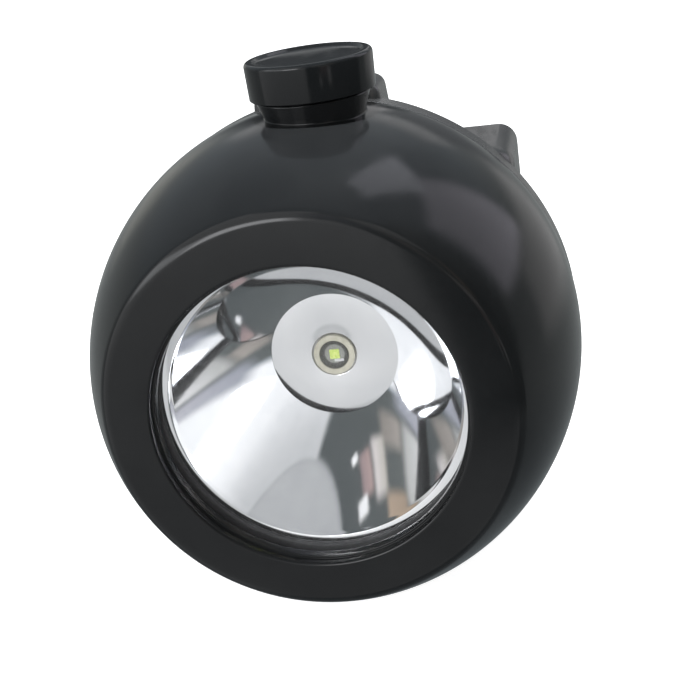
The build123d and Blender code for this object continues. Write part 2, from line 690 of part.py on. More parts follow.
with BuildPart() as rear_shell:
    with BuildSketch(Plane.XY) as bowl_profile:
        with BuildLine():
            Polyline(
                (0, y_at(PLATE_INNER)),
                (FLANGE_R - WALL, y_at(PLATE_INNER)),
                (FLANGE_R - WALL, y_at(FLANGE_FRONT)),
                (FLANGE_R, y_at(FLANGE_FRONT)),
                (FLANGE_R, y_at(PLATE_BACK)),
                (0, y_at(PLATE_BACK)),
                close=True,
            )
        make_face()
        shoulder = bowl_profile.vertices().sort_by_distance((FLANGE_R, y_at(PLATE_BACK)))[0]
        fillet(shoulder, SHOULDER_FILLET)
        front_edge = bowl_profile.vertices().sort_by_distance(
            (FLANGE_R, y_at(FLANGE_FRONT))
        )[0]
        fillet(front_edge, SEAM_FILLET)
    revolve(axis=Axis.Y)
    # battery housing with rounded back edges
    with BuildSketch(across(BODY_DEPTH)):
        RectangleRounded(HOUSING_W, HOUSING_H, HOUSING_CORNER)
    extrude(amount=BODY_DEPTH - PLATE_INNER)
    fillet(rear_shell.faces().sort_by(Axis.Y)[-1].edges(), HOUSING_FILLET)
    # saddle block for the helmet clip
    with BuildSketch(across(SADDLE_BACK)) as saddle:
        Polygon(
            (-SADDLE_HALF_W - SADDLE_FOOT_SPREAD, SADDLE_FOOT_Z),
            (SADDLE_HALF_W + SADDLE_FOOT_SPREAD, SADDLE_FOOT_Z),
            (SADDLE_HALF_W, SADDLE_TOP),
            (-SADDLE_HALF_W, SADDLE_TOP),
            align=None,
        )
        fillet(saddle.vertices().group_by(Axis.Z)[-1], SADDLE_CORNER)
    extrude(amount=SADDLE_BACK - SADDLE_FRONT)
    # inside of the housing
    with BuildSketch(across(BODY_DEPTH - HOUSING_WALL)):
        RectangleRounded(
            HOUSING_W - 2 * HOUSING_WALL, HOUSING_H - 2 * HOUSING_WALL, HOUSING_INNER_CORNER
        )
    extrude(amount=BODY_DEPTH - HOUSING_WALL - PLATE_INNER + 1.0, mode=Mode.SUBTRACT)
    # posts for the cell's retainer
    with BuildSketch(across(BODY_DEPTH - HOUSING_WALL)):
        with Locations(*post_points):
            Circle(POST_R)
    extrude(amount=BODY_DEPTH - HOUSING_WALL - POST_FRONT)
    with BuildSketch(across(POST_FRONT + POST_PILOT_L)):
        with Locations(*post_points):
            Circle(POST_PILOT_R)
    extrude(amount=POST_PILOT_L, mode=Mode.SUBTRACT)
    # screw columns with counterbores on the rear
    with BuildSketch(across(PLATE_INNER + 0.5)):
        with Locations(*case_screw_points):
            Circle(CASE_COLUMN_R)
    extrude(amount=PLATE_INNER + 0.5 - FLANGE_FRONT)
    with BuildSketch(across(PLATE_BACK + 1.0)):
        with Locations(*case_screw_points):
            Circle(COUNTERBORE_R)
    extrude(amount=COUNTERBORE_DEPTH + 1.0, mode=Mode.SUBTRACT)
    with BuildSketch(across(PLATE_BACK)):
        with Locations(*case_screw_points):
            Circle(CASE_CLEARANCE_R)
    extrude(amount=PLATE_BACK - FLANGE_FRONT, mode=Mode.SUBTRACT)
    # pilot holes for the clip's screws
    with BuildSketch(across(SADDLE_BACK)):
        with Locations(*clip_screw_points):
            Circle(CLIP_PILOT_R)
    extrude(amount=CLIP_PILOT_L, mode=Mode.SUBTRACT)
    # holes for the charging contacts
    with BuildSketch(Plane.XY.offset(-HOUSING_H / 2)):
        with Locations(*contact_points):
            Circle(CONTACT_HOLE_R)
    extrude(amount=HOUSING_WALL, mode=Mode.SUBTRACT)
rear_shell.part.label = "rear_shell"
export_step(rear_shell.part, "parts/rear_shell.step")

SCREW_HEAD_FRONT = PLATE_BACK - COUNTERBORE_DEPTH + SCREW_SEAT_GAP
with BuildPart() as case_screws:
    with BuildSketch(across(SCREW_HEAD_FRONT + CASE_HEAD_H)):
        with Locations(*case_screw_points):
            Circle(CASE_HEAD_R)
    extrude(amount=CASE_HEAD_H)
    with BuildSketch(across(SCREW_HEAD_FRONT)):
        with Locations(*case_screw_points):
            Circle(CASE_SHANK_R)
    extrude(amount=SCREW_HEAD_FRONT - SEAM + CASE_SHANK_BITE)
    # cross recess in each head
    with BuildSketch(across(SCREW_HEAD_FRONT + CASE_HEAD_H)):
        with Locations(*case_screw_points):
            Rectangle(CASE_RECESS_SPAN, RECESS_SLOT)
            Rectangle(RECESS_SLOT, CASE_RECESS_SPAN)
    extrude(amount=CASE_RECESS_DEPTH, mode=Mode.SUBTRACT)
case_screws.part.label = "case_screws"
export_step(case_screws.part, "parts/case_screws.step")

# ---------------------------------------------------------------- battery
with BuildPart() as battery_cell:
    with BuildSketch(across(CELL_FRONT + CELL_T)):
        RectangleRounded(CELL_W, CELL_H, CELL_CORNER)
    extrude(amount=CELL_T)
    fillet(battery_cell.edges().filter_by(Axis.X), CELL_EDGE_FILLET)
battery_cell.part.label = "battery_cell"
export_step(battery_cell.part, "parts/battery_cell.step")

with BuildPart() as battery_pad:
    with BuildSketch(across(BODY_DEPTH - HOUSING_WALL)):
        Rectangle(CELL_W - 2 * PAD_SIDE_MARGIN, CELL_H - 2 * PAD_END_MARGIN)
    extrude(amount=BODY_DEPTH - HOUSING_WALL - CELL_FRONT - CELL_T)
battery_pad.part.label = "battery_pad"
export_step(battery_pad.part, "parts/battery_pad.step")

with BuildPart() as battery_retainer:
    with BuildSketch(across(POST_FRONT)):
        RectangleRounded(
            HOUSING_W - 2 * RETAINER_MARGIN, HOUSING_H - 2 * RETAINER_MARGIN, RETAINER_CORNER
        )
        Rectangle(*RETAINER_WINDOW, mode=Mode.SUBTRACT)
        with Locations(*post_points):
            Circle(RETAINER_HOLE_R, mode=Mode.SUBTRACT)
    extrude(amount=RETAINER_T)
battery_retainer.part.label = "battery_retainer"
export_step(battery_retainer.part, "parts/battery_retainer.step")

with BuildPart() as retainer_screws:
    with BuildSketch(across(POST_FRONT - RETAINER_T)):
        with Locations(*post_points):
            Circle(RETAINER_HEAD_R)
    extrude(amount=RETAINER_HEAD_H)
    with BuildSketch(across(POST_FRONT + RETAINER_SHANK_BITE)):
        with Locations(*post_points):
            Circle(RETAINER_SHANK_R)
    extrude(amount=RETAINER_SHANK_BITE + RETAINER_T)
retainer_screws.part.label = "retainer_screws"
export_step(retainer_screws.part, "parts/retainer_screws.step")

# ---------------------------------------------------------------- charging contacts
with BuildPart() as charge_contacts:
    with BuildSketch(Plane.XY.offset(-HOUSING_H / 2 - CONTACT_PROUD)):
        with Locations(*contact_points):
            Circle(CONTACT_R)
    extrude(amount=CONTACT_PROUD)
    with BuildSketch(Plane.XY.offset(-HOUSING_H / 2)):
        with Locations(*contact_points):
            Circle(CONTACT_SHANK_R)
    extrude(amount=CONTACT_SHANK_L)
charge_contacts.part.label = "charge_contacts"
export_step(charge_contacts.part, "parts/charge_contacts.step")

with BuildPart() as contact_nuts:
    with BuildSketch(Plane.XY.offset(-HOUSING_H / 2 + HOUSING_WALL)):
        with Locations(*contact_points):
            RegularPolygon(CONTACT_NUT_R, 6)
            Circle(CONTACT_HOLE_R, mode=Mode.SUBTRACT)
    extrude(amount=CONTACT_NUT_H)
contact_nuts.part.label = "contact_nuts"
export_step(contact_nuts.part, "parts/contact_nuts.step")

# ---------------------------------------------------------------- helmet clip
# side outline of the strip's middle line, from the saddle's rear face to its free end
STRIP_Y = y_at(SADDLE_BACK) + CLIP_T / 2
RUN_Z = CLIP_RUN_Z + CLIP_T / 2
BLADE_Y = CLIP_GAP + CLIP_T / 2
STRIP_TOP = SADDLE_TOP - CLIP_TOP_MARGIN

with BuildPart() as helmet_clip:
    with BuildSketch(Plane.YZ):
        with BuildLine():
            FilletPolyline(
                (STRIP_Y, STRIP_TOP),
                (STRIP_Y, RUN_Z),
                (BLADE_Y, RUN_Z),
                (BLADE_Y, CLIP_LOW + CLIP_TIP_H),
                (BLADE_Y + CLIP_TIP_OUT, CLIP_LOW),
                radius=CLIP_BENDS,
            )
            offset(amount=CLIP_T / 2, side=Side.BOTH)
        make_face()
    extrude(amount=CLIP_W / 2, both=True)
    # round the corners of both ends
    with BuildSketch(across(BODY_DEPTH + 3 * CLIP_GAP)):
        with Locations((0, (STRIP_TOP + CLIP_LOW) / 2)):
            RectangleRounded(CLIP_W, STRIP_TOP - CLIP_LOW, CLIP_END_R)
    extrude(amount=BODY_DEPTH, mode=Mode.INTERSECT)
    with BuildSketch(across(SADDLE_BACK + 2 * CLIP_T)):
        with Locations(*clip_screw_points):
            Circle(CLIP_HOLE_R)
    extrude(amount=3 * CLIP_T, mode=Mode.SUBTRACT)
helmet_clip.part.label = "helmet_clip"
export_step(helmet_clip.part, "parts/helmet_clip.step")

with BuildPart() as clip_screws:
    with BuildSketch(across(SADDLE_BACK + CLIP_T + CLIP_HEAD_H)):
        with Locations(*clip_screw_points):
            Circle(CLIP_HEAD_R)
    extrude(amount=CLIP_HEAD_H)
    with BuildSketch(across(SADDLE_BACK + CLIP_T)):
        with Locations(*clip_screw_points):
            Circle(CLIP_SHANK_R)
    extrude(amount=CLIP_SHANK_L)
    with BuildSketch(across(SADDLE_BACK + CLIP_T + CLIP_HEAD_H)):
        with Locations(*clip_screw_points):
            Rectangle(CLIP_RECESS_SPAN, RECESS_SLOT)
            Rectangle(RECESS_SLOT, CLIP_RECESS_SPAN)
    extrude(amount=CLIP_RECESS_DEPTH, mode=Mode.SUBTRACT)
clip_screws.part.label = "clip_screws"
export_step(clip_screws.part, "parts/clip_screws.step")

# ---------------------------------------------------------------- leads, held inside
LED_LEAD_DEPTH = STAR_FRONT + STAR_T / 2 + 0.05
board_lead_x, cell_lead_x = CELL_LEAD_X

for colour, side in (("red", 1), ("black", -1)):
    hole_x = side * LEAD_HOLE_X
    led_run = lead_part(
        (
            (hole_x, y_at(BOARD_FRONT), 0),
            (hole_x, y_at(LED_LEAD_DEPTH), 0),
            (side * (STAR_R + 0.05), y_at(LED_LEAD_DEPTH), 0),
        ),
        LED_LEAD_BEND,
    )
    cell_run = lead_part(
        (
            (side * board_lead_x, y_at(BOARD_REAR), CELL_LEAD_Z),
            (side * board_lead_x, y_at(BOARD_REAR + CELL_LEAD_RUNS[0]), CELL_LEAD_Z),
            (side * cell_lead_x, y_at(CELL_FRONT - CELL_LEAD_RUNS[1]), CELL_LEAD_Z),
            (side * cell_lead_x, y_at(CELL_FRONT), CELL_LEAD_Z),
        ),
        CELL_LEAD_BEND,
    )
    with BuildPart() as leads:
        add(led_run)
        add(cell_run)
    leads.part.label = f"{colour}_leads"
    export_step(leads.part, f"parts/{colour}_leads.step")
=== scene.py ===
import json
import math

import bmesh
import bpy
from mathutils import Matrix, Vector


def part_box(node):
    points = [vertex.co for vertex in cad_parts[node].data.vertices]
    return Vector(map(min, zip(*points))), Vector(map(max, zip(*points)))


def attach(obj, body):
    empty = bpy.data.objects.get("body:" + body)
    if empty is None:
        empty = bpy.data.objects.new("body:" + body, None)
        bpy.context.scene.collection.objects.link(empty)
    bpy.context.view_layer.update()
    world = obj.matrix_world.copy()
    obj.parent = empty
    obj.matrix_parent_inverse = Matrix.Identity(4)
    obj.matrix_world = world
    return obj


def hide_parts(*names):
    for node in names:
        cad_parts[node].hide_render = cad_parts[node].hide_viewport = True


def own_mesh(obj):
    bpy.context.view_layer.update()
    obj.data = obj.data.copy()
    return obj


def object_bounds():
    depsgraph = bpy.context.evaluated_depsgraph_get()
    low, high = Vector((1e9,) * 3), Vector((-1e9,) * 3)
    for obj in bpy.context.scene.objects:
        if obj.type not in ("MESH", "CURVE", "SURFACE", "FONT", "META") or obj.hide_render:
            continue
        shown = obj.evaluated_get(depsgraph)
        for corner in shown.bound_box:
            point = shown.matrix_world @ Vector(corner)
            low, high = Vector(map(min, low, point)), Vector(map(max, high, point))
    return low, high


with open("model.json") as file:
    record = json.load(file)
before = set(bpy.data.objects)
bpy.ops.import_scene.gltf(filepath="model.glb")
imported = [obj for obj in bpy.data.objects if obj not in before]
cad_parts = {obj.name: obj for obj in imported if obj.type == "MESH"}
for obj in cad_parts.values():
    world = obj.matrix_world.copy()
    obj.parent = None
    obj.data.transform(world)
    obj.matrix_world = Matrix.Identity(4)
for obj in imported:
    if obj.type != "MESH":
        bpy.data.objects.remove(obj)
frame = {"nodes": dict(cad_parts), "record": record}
cad_low, cad_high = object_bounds()

# Everything below is worked out in millimetres and scaled to metres when a mesh is made.
# A depth is measured along the beam, backwards from the plane of the bezel's lip.
MM = 0.001

# ------------------------------------------------------------------ places read from the frame
BACK = 59.0  # depth of the battery housing's back face
LIP_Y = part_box("rear_shell")[1].y / MM - BACK
BUTTON_LOW, BUTTON_HIGH = (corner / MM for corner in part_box("button_cap"))
BUTTON_X = (BUTTON_LOW.x + BUTTON_HIGH.x) / 2
BUTTON_Y = (BUTTON_LOW.y + BUTTON_HIGH.y) / 2
BUTTON_R = (BUTTON_HIGH.x - BUTTON_LOW.x) / 2
BUTTON_TOP = BUTTON_HIGH.z
BUTTON_BOTTOM = BUTTON_LOW.z

# ------------------------------------------------------------------ sizes
# front shell: an ellipse turned about the beam, cut off by the seam
DOME_R = 37.2
DOME_LENGTH = 44.5  # the ellipse's half length
DOME_MIDDLE = 29.0  # depth of its widest place
WALL = 2.2
SEAM = 35.7
CREST_DEPTH = 1.2  # the bezel's slope aims at the dome at this depth
CREST_FILLET = 2.6
BEZEL_R = 21.9
THROAT_R = 21.72  # opening in front of the lens
LIP_STEP_R = 22.12  # its wider mouth
LIP_STEP_DEPTH = 1.55
HOLLOW_FRONT = 3.6
HOLLOW_R = 26.0

# window, its seal and the reflector behind it
LENS_FRONT = 3.2
LENS_BACK = 5.3
LENS_R = 24.2
LENS_SEAT_R = 24.4
LENS_SEAT_END = 8.2
SEAL_R = 21.95
SEAL_FRONT = 5.32
SEAL_BACK = 6.08
RIM_DEPTH = 6.1
RIM_R = 20.9
RIM_BACK = 7.3
RIM_OUTER_R = 22.1
APERTURE_R = 9.75
APERTURE_DEPTH = 24.8
APERTURE_OUTER_R = 11.6
DISC_R = 12.0
DISC_HOLE_R = 3.4
DISC_FRONT = 24.85
DISC_BACK = 25.45
LED_R = 3.2
LED_FRONT = 24.45
CUP_FLOOR = 25.0
CUP_R = 2.35  # at the cup's mouth
CUP_FLOOR_R = 1.9
CHIP_HALF = 0.75
CHIP_FRONT = 24.8
SILICONE_R = 2.3
SILICONE_HEIGHT = 1.4

# neck under the button, with the wells inside it; heights, not depths
TURRET_LOW = 33.0
TURRET_MIDDLE = 36.6
TURRET_TOP = 39.3
TURRET_RADII = (7.1, 7.4, 8.35)
TURRET_FLOOR = 33.2
STEM_BORE_R = 2.56
STEM_SEAL_R = 3.95
STEM_SEAL_LOW = 34.1
SPRING_WELL_R = 6.2
SPRING_SEAT = 35.5
CAP_CEILING = 42.3  # the spring pushes here
CAP_SKIRT_R = 8.62
CAP_BOSS_R = 2.5
CAP_BOSS_TOP = 43.2
DISH_R = 7.2
DISH_FLOOR = 0.8  # below the button's top
DISH_EDGE = 0.46

# rear shell
GASKET_R = 36.1
SPIGOT_R = 34.6  # inside of the gasket
FLANGE_R = 36.6
FLANGE_FRONT = 36.3
FLANGE_LIP_R = 34.4
PLATE_FRONT = 39.6
PLATE_BACK = 41.8
HOUSING_W = 57.8
HOUSING_H = 51.2
HOUSING_CORNER = 3.0
HOUSING_WALL = 2.0
SADDLE_TOP = 37.9
SADDLE_FRONT = 38.3
SADDLE_BACK = 48.0

# screws, contacts and clip
CASE_SCREW_CIRCLE = 31.8
CASE_SCREW_ANGLES = (64, 116, 244, 296)
CLIP_SCREW_X = 5.2
CLIP_SCREW_Z = 33.0
CONTACT_X = 14.0
CONTACT_DEPTH = 50.0
CLIP_THICK = 1.2
CLIP_HALF_W = 9.5
CLIP_END_R = 4.0


def y_at(depth):
    """The y of a depth behind the lip."""
    return LIP_Y + depth


def dome_radius(depth, inset=0.0):
    """Radius of the dome, or of its inner wall, at a depth."""
    along = (DOME_MIDDLE - depth) / (DOME_LENGTH - inset)
    return (DOME_R - inset) * math.sqrt(1 - along * along)


def dome_top(x, y):
    """Height of the dome's skin over a point."""
    return math.sqrt(dome_radius(y - LIP_Y) ** 2 - x * x)


# ------------------------------------------------------------------ mesh helpers
def arc(centre, radius, start, end, steps):
    """Points on a circle, angles in degrees, both ends included."""
    points = []
    for i in range(steps + 1):
        turn = math.radians(start + (end - start) * i / steps)
        points.append((centre[0] + radius * math.cos(turn), centre[1] + radius * math.sin(turn)))
    return points


def bend(before, here, after, radius, steps):
    """The arc that rounds the corner at `here` between two other points."""
    here = Vector(here)
    before = (Vector(before) - here).normalized()
    after = (Vector(after) - here).normalized()
    half = before.angle(after) / 2
    reach = radius / math.tan(half)
    centre = here + (before + after).normalized() * (radius / math.sin(half))
    first = here + before * reach - centre
    last = here + after * reach - centre
    turn = math.atan2(first.x * last.y - first.y * last.x, first.dot(last))
    start = math.atan2(first.y, first.x)
    points = []
    for k in range(steps + 1):
        angle = start + turn * k / steps
        points.append((centre.x + radius * math.cos(angle), centre.y + radius * math.sin(angle)))
    return points


def rounded(corners, steps=5):
    """An outline from (a, b, radius) corners, each corner with a radius turned into an arc."""
    outline = []
    count = len(corners)
    for i, (a, b, radius) in enumerate(corners):
        if radius <= 0:
            outline.append((a, b))
        else:
            before, after = corners[i - 1][:2], corners[(i + 1) % count][:2]
            outline += bend(before, (a, b), after, radius, steps)
    return outline


def link(name, mesh, sharp=32.0):
    """An object from a mesh in millimetres, smooth, with creases where faces meet sharply."""
    mesh.transform(Matrix.Scale(MM, 4))
    mesh.validate()
    for polygon in mesh.polygons:
        polygon.use_smooth = True
    mesh.set_sharp_from_angle(angle=math.radians(sharp))
    piece = bpy.data.objects.new(name, mesh)
    bpy.context.scene.collection.objects.link(piece)
    return piece


def mesh_from(bm):
    """A plain mesh, its faces turned outwards."""
    bmesh.ops.recalc_face_normals(bm, faces=bm.faces)
    mesh = bpy.data.meshes.new("mesh")
    bm.to_mesh(mesh)
    bm.free()
    return mesh


def ring_mesh(profile, place, segments):
    """A closed profile of (radius, height) turned about an axis.

    place(radius, height, angle) gives the point.
    """
    bm = bmesh.new()
    columns = []
    poles = {}
    for k in range(segments):
        angle = 2 * math.pi * k / segments
        column = []
        for i, (radius, height) in enumerate(profile):
            if radius < 1e-6:
                if i not in poles:
                    poles[i] = bm.verts.new(place(0.0, height, 0.0))
                column.append(poles[i])
            else:
                column.append(bm.verts.new(place(radius, height, angle)))
        columns.append(column)
    count = len(profile)
    for k in range(segments):
        one, two = columns[k], columns[(k + 1) % segments]
        for i in range(count):
            j = (i + 1) % count
            corners = []
            for vertex in (one[i], one[j], two[j], two[i]):
                if vertex not in corners:
                    corners.append(vertex)
            if len(corners) > 2:
                bm.faces.new(corners)
    return mesh_from(bm)


def beam_ring(profile, segments=192, x=0.0, z=0.0):
    """Turns a (radius, depth) outline about the beam or a line beside it."""

    def place(radius, depth, angle):
        return (x + radius * math.cos(angle), y_at(depth), z + radius * math.sin(angle))

    return ring_mesh(profile, place, segments)


def upright_ring(profile, segments=160, x=BUTTON_X, y=BUTTON_Y):
    """Turns a (radius, z) outline about an upright line, the button's axis by default."""

    def place(radius, height, angle):
        return (x + radius * math.cos(angle), y + radius * math.sin(angle), height)

    return ring_mesh(profile, place, segments)


def loft_mesh(sections, ring=False):
    """Closed outlines of equal length joined in turn, to a bar with ends or all round to a ring."""
    bm = bmesh.new()
    loops = [[bm.verts.new(point) for point in section] for section in sections]
    count = len(loops[0])
    following = loops[1:] + loops[:1] if ring else loops[1:]
    for one, two in zip(loops, following):
        for i in range(count):
            j = (i + 1) % count
            bm.faces.new((one[i], one[j], two[j], two[i]))
    if not ring:
        bm.faces.new(loops[0])
        bm.faces.new(loops[-1])
    return mesh_from(bm)


def across(outline, depth):
    """A section across the beam from (x, z) points."""
    return [(x, y_at(depth), z) for x, z in outline]


def merged(meshes):
    """Several meshes as one."""
    bm = bmesh.new()
    for mesh in meshes:
        bm.from_mesh(mesh)
        bpy.data.meshes.remove(mesh)
    return mesh_from(bm)


WELD = 1e-4  # vertices closer than this become one after a boolean


def combine(mesh, cutters, operation):
    """Boolean of a mesh with others, all in millimetres."""
    for other in cutters:
        one = bpy.data.objects.new("one", mesh)
        two = bpy.data.objects.new("two", other)
        for item in (one, two):
            bpy.context.scene.collection.objects.link(item)
        modifier = one.modifiers.new("cut", "BOOLEAN")
        modifier.operation = operation
        modifier.solver = "EXACT"
        modifier.object = two
        graph = bpy.context.evaluated_depsgraph_get()
        result = bpy.data.meshes.new_from_object(one.evaluated_get(graph))
        bpy.data.objects.remove(one)
        bpy.data.objects.remove(two)
        mesh = result
    bm = bmesh.new()
    bm.from_mesh(mesh)
    bmesh.ops.remove_doubles(bm, verts=bm.verts, dist=WELD)
    bmesh.ops.dissolve_degenerate(bm, edges=bm.edges, dist=WELD)
    return mesh_from(bm)


def keep_flats_flat(piece):
    """Weights normals by face area, so that large flats next to fillets shade flat."""
    weighted = piece.modifiers.new("weighted", "WEIGHTED_NORMAL")
    weighted.keep_sharp = True
    weighted.weight = 80
    return piece


def finish_piece(piece, material, body, slot, *nodes):
    """Gives a piece its material, the body it moves with and the nodes it replaces; slot is not
    used.
    """
    piece.data.materials.clear()
    piece.data.materials.append(material)
    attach(piece, body)
    if nodes:
        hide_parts(*nodes)


# ------------------------------------------------------------------ materials
class Graph:
    """A node tree with its shader, its coordinates and the nodes used most."""

    def __init__(self, owner, shader, coordinates):
        owner.use_nodes = True
        self.tree = owner.node_tree
        self.shader = next(n for n in self.tree.nodes if n.type == shader)
        self.coordinates = self.tree.nodes.new("ShaderNodeTexCoord").outputs[coordinates]

    def join(self, source, target):
        self.tree.links.new(source, target)

    def fill(self, node, index, value):
        """Gives a node's input a number, a colour or another node's output."""
        if isinstance(value, (int, float)):
            node.inputs[index].default_value = value
        elif isinstance(value, tuple):
            node.inputs[index].default_value = (*value, 1.0)
        else:
            self.join(value, node.inputs[index])

    def split(self):
        """The coordinates' X, Y and Z outputs."""
        node = self.tree.nodes.new("ShaderNodeSeparateXYZ")
        self.join(self.coordinates, node.inputs["Vector"])
        return node.outputs

    def span(self, source, low, high, to_low=0.0, to_high=1.0, smooth=False):
        """Maps low..high to to_low..to_high and holds the ends."""
        node = self.tree.nodes.new("ShaderNodeMapRange")
        if smooth:
            node.interpolation_type = "SMOOTHSTEP"
        node.inputs["From Min"].default_value = low
        node.inputs["From Max"].default_value = high
        node.inputs["To Min"].default_value = to_low
        node.inputs["To Max"].default_value = to_high
        self.join(source, node.inputs["Value"])
        return node.outputs["Result"]

    def math(self, operation, one, two=0.0):
        node = self.tree.nodes.new("ShaderNodeMath")
        node.operation = operation
        self.fill(node, 0, one)
        self.fill(node, 1, two)
        return node.outputs["Value"]

    def mix(self, factor, one, two):
        """Two colours mixed by a factor output."""
        node = self.tree.nodes.new("ShaderNodeMix")
        node.data_type = "RGBA"
        self.join(factor, node.inputs[0])
        self.fill(node, 6, one)
        self.fill(node, 7, two)
        return node.outputs[2]


class Nodes(Graph):
    """One material, with its textures in the object's own space."""

    def __init__(self, name):
        self.material = bpy.data.materials.new(name)
        super().__init__(self.material, "BSDF_PRINCIPLED", "Object")

    def set(self, **values):
        for key, value in values.items():
            self.shader.inputs[key.replace("_", " ")].default_value = value
        return self

    def scaled(self, stretch):
        mapping = self.tree.nodes.new("ShaderNodeMapping")
        mapping.inputs["Scale"].default_value = stretch
        self.join(self.coordinates, mapping.inputs["Vector"])
        return mapping.outputs["Vector"]

    def noise(self, per_mm, detail=4.0, rough=0.55, stretch=None, distortion=0.0):
        """Noise with so many features per millimetre, 0 to 1."""
        node = self.tree.nodes.new("ShaderNodeTexNoise")
        node.inputs["Scale"].default_value = per_mm / MM
        node.inputs["Detail"].default_value = detail
        node.inputs["Roughness"].default_value = rough
        node.inputs["Distortion"].default_value = distortion
        where = self.scaled(stretch) if stretch else self.coordinates
        self.join(where, node.inputs["Vector"])
        return node.outputs["Fac"]

    def specks(self, per_mm, size):
        """Small sparse dots: 1 inside a dot, 0 outside."""
        node = self.tree.nodes.new("ShaderNodeTexVoronoi")
        node.inputs["Scale"].default_value = per_mm / MM
        self.join(self.coordinates, node.inputs["Vector"])
        return self.span(node.outputs["Distance"], 0.0, size, 1.0, 0.0)

    def colour(self, source):
        self.join(source, self.shader.inputs["Base Color"])

    def roughness(self, source):
        self.join(source, self.shader.inputs["Roughness"])

    def bump(self, source, height_mm, strength=1.0, onto=None):
        node = self.tree.nodes.new("ShaderNodeBump")
        node.inputs["Strength"].default_value = strength
        node.inputs["Distance"].default_value = height_mm * MM
        self.join(source, node.inputs["Height"])
        if onto is not None:
            self.join(onto, node.inputs["Normal"])
        self.join(node.outputs["Normal"], self.shader.inputs["Normal"])
        return node.outputs["Normal"]


ORANGE_PEEL = 0.0012


def moulded(name, dark, light, rough_low, rough_high, grain=0.0006, specular=0.29):
    """Glossy moulded plastic: orange peel, faint handling marks, dust and fine scuffs."""
    m = Nodes(name).set(Specular_IOR_Level=specular)
    cloud = m.noise(0.09, 3.0)
    smear = m.noise(0.5, 5.0, 0.6, stretch=(1.0, 0.35, 1.0), distortion=0.6)
    dust = m.specks(1.4, 0.07)
    tone = m.mix(m.span(cloud, 0.35, 0.7), dark, light)
    pale = tuple(min(1.0, c * 3.0 + 0.02) for c in light)
    m.colour(m.mix(m.math("MULTIPLY", dust, m.span(cloud, 0.45, 0.75, 0.0, 0.35)), tone, pale))
    marks = m.span(smear, 0.4, 0.75, rough_low, rough_high)
    m.roughness(m.math("ADD", marks, m.math("MULTIPLY", dust, 0.2)))
    first = m.bump(m.noise(0.32, 2.0), ORANGE_PEEL)
    m.bump(m.noise(6.0, 2.0), grain, onto=first)
    return m.material


def matte(name, dark, light, rough, grain_per_mm, height):
    """Matte rubber, board mask, foam or cast plastic with a fine grain."""
    m = Nodes(name)
    m.colour(m.mix(m.span(m.noise(0.25, 4.0), 0.3, 0.7), dark, light))
    m.roughness(m.span(m.noise(1.2, 4.0), 0.3, 0.7, rough - 0.12, rough + 0.1))
    m.bump(m.noise(grain_per_mm, 3.0), height, 0.6)
    return m.material


def metal(name, dark, light, rough_low, rough_high, stretch, height):
    """Metal with drawn or turned marks along one direction, and slight tarnish."""
    m = Nodes(name).set(Metallic=1.0)
    lines = m.noise(3.0, 5.0, 0.65, stretch=stretch)
    cloud = m.noise(0.18, 4.0)
    m.colour(m.mix(m.span(cloud, 0.35, 0.7), dark, light))
    marks = m.span(lines, 0.3, 0.7, rough_low, rough_high)
    m.roughness(m.math("ADD", marks, m.span(cloud, 0.4, 0.8, 0.0, 0.08)))
    m.bump(lines, height, 0.5)
    return m.material


def mirror_material():
    """Vacuum-metallised reflector: near-perfect, with faint waviness and haze."""
    m = Nodes("reflector_mirror").set(Metallic=1.0)
    cloud = m.noise(0.12, 3.0)
    blend = m.span(cloud, 0.3, 0.7)
    m.colour(m.mix(blend, (0.86, 0.87, 0.885), (0.93, 0.935, 0.945)))
    m.roughness(m.span(m.noise(0.8, 4.0), 0.3, 0.8, 0.03, 0.075))
    m.bump(m.noise(0.22, 2.0), 0.0022)
    return m.material


def lens_material():
    """Clear hard-coated window, with a trace of smears and dust."""
    m = Nodes("lens_clear").set(IOR=1.49, Base_Color=(0.97, 0.985, 1.0, 1.0))
    smear = m.noise(0.12, 5.0, 0.6, stretch=(1.0, 1.0, 0.4), distortion=0.8)
    dust = m.specks(0.9, 0.035)
    haze = m.span(smear, 0.45, 0.8, 0.012, 0.028)
    m.join(m.math("ADD", haze, m.math("MULTIPLY", dust, 0.05)), m.shader.inputs["Alpha"])
    m.roughness(m.span(smear, 0.4, 0.75, 0.02, 0.16))
    m.bump(m.noise(0.08, 2.0), 0.001)
    return m.material


def silicone_material():
    """The LED's clear dome."""
    m = Nodes("led_silicone").set(IOR=1.41, Base_Color=(1.0, 1.0, 0.97, 1.0))
    m.join(m.span(m.noise(0.9, 3.0), 0.3, 0.7, 0.04, 0.08), m.shader.inputs["Alpha"])
    m.roughness(m.span(m.noise(2.0, 3.0), 0.3, 0.7, 0.04, 0.1))
    m.bump(m.noise(1.2, 2.0), 0.002)
    return m.material


def phosphor_material():
    """Yellow-green grainy coating of the die."""
    m = Nodes("led_phosphor")
    blend = m.span(m.noise(3.0, 4.0), 0.35, 0.65)
    m.colour(m.mix(blend, (0.58, 0.80, 0.06), (0.80, 0.93, 0.20)))
    m.roughness(m.span(m.noise(8.0, 3.0), 0.3, 0.7, 0.45, 0.7))
    m.bump(m.noise(12.0, 3.0), 0.01, 0.6)
    return m.material


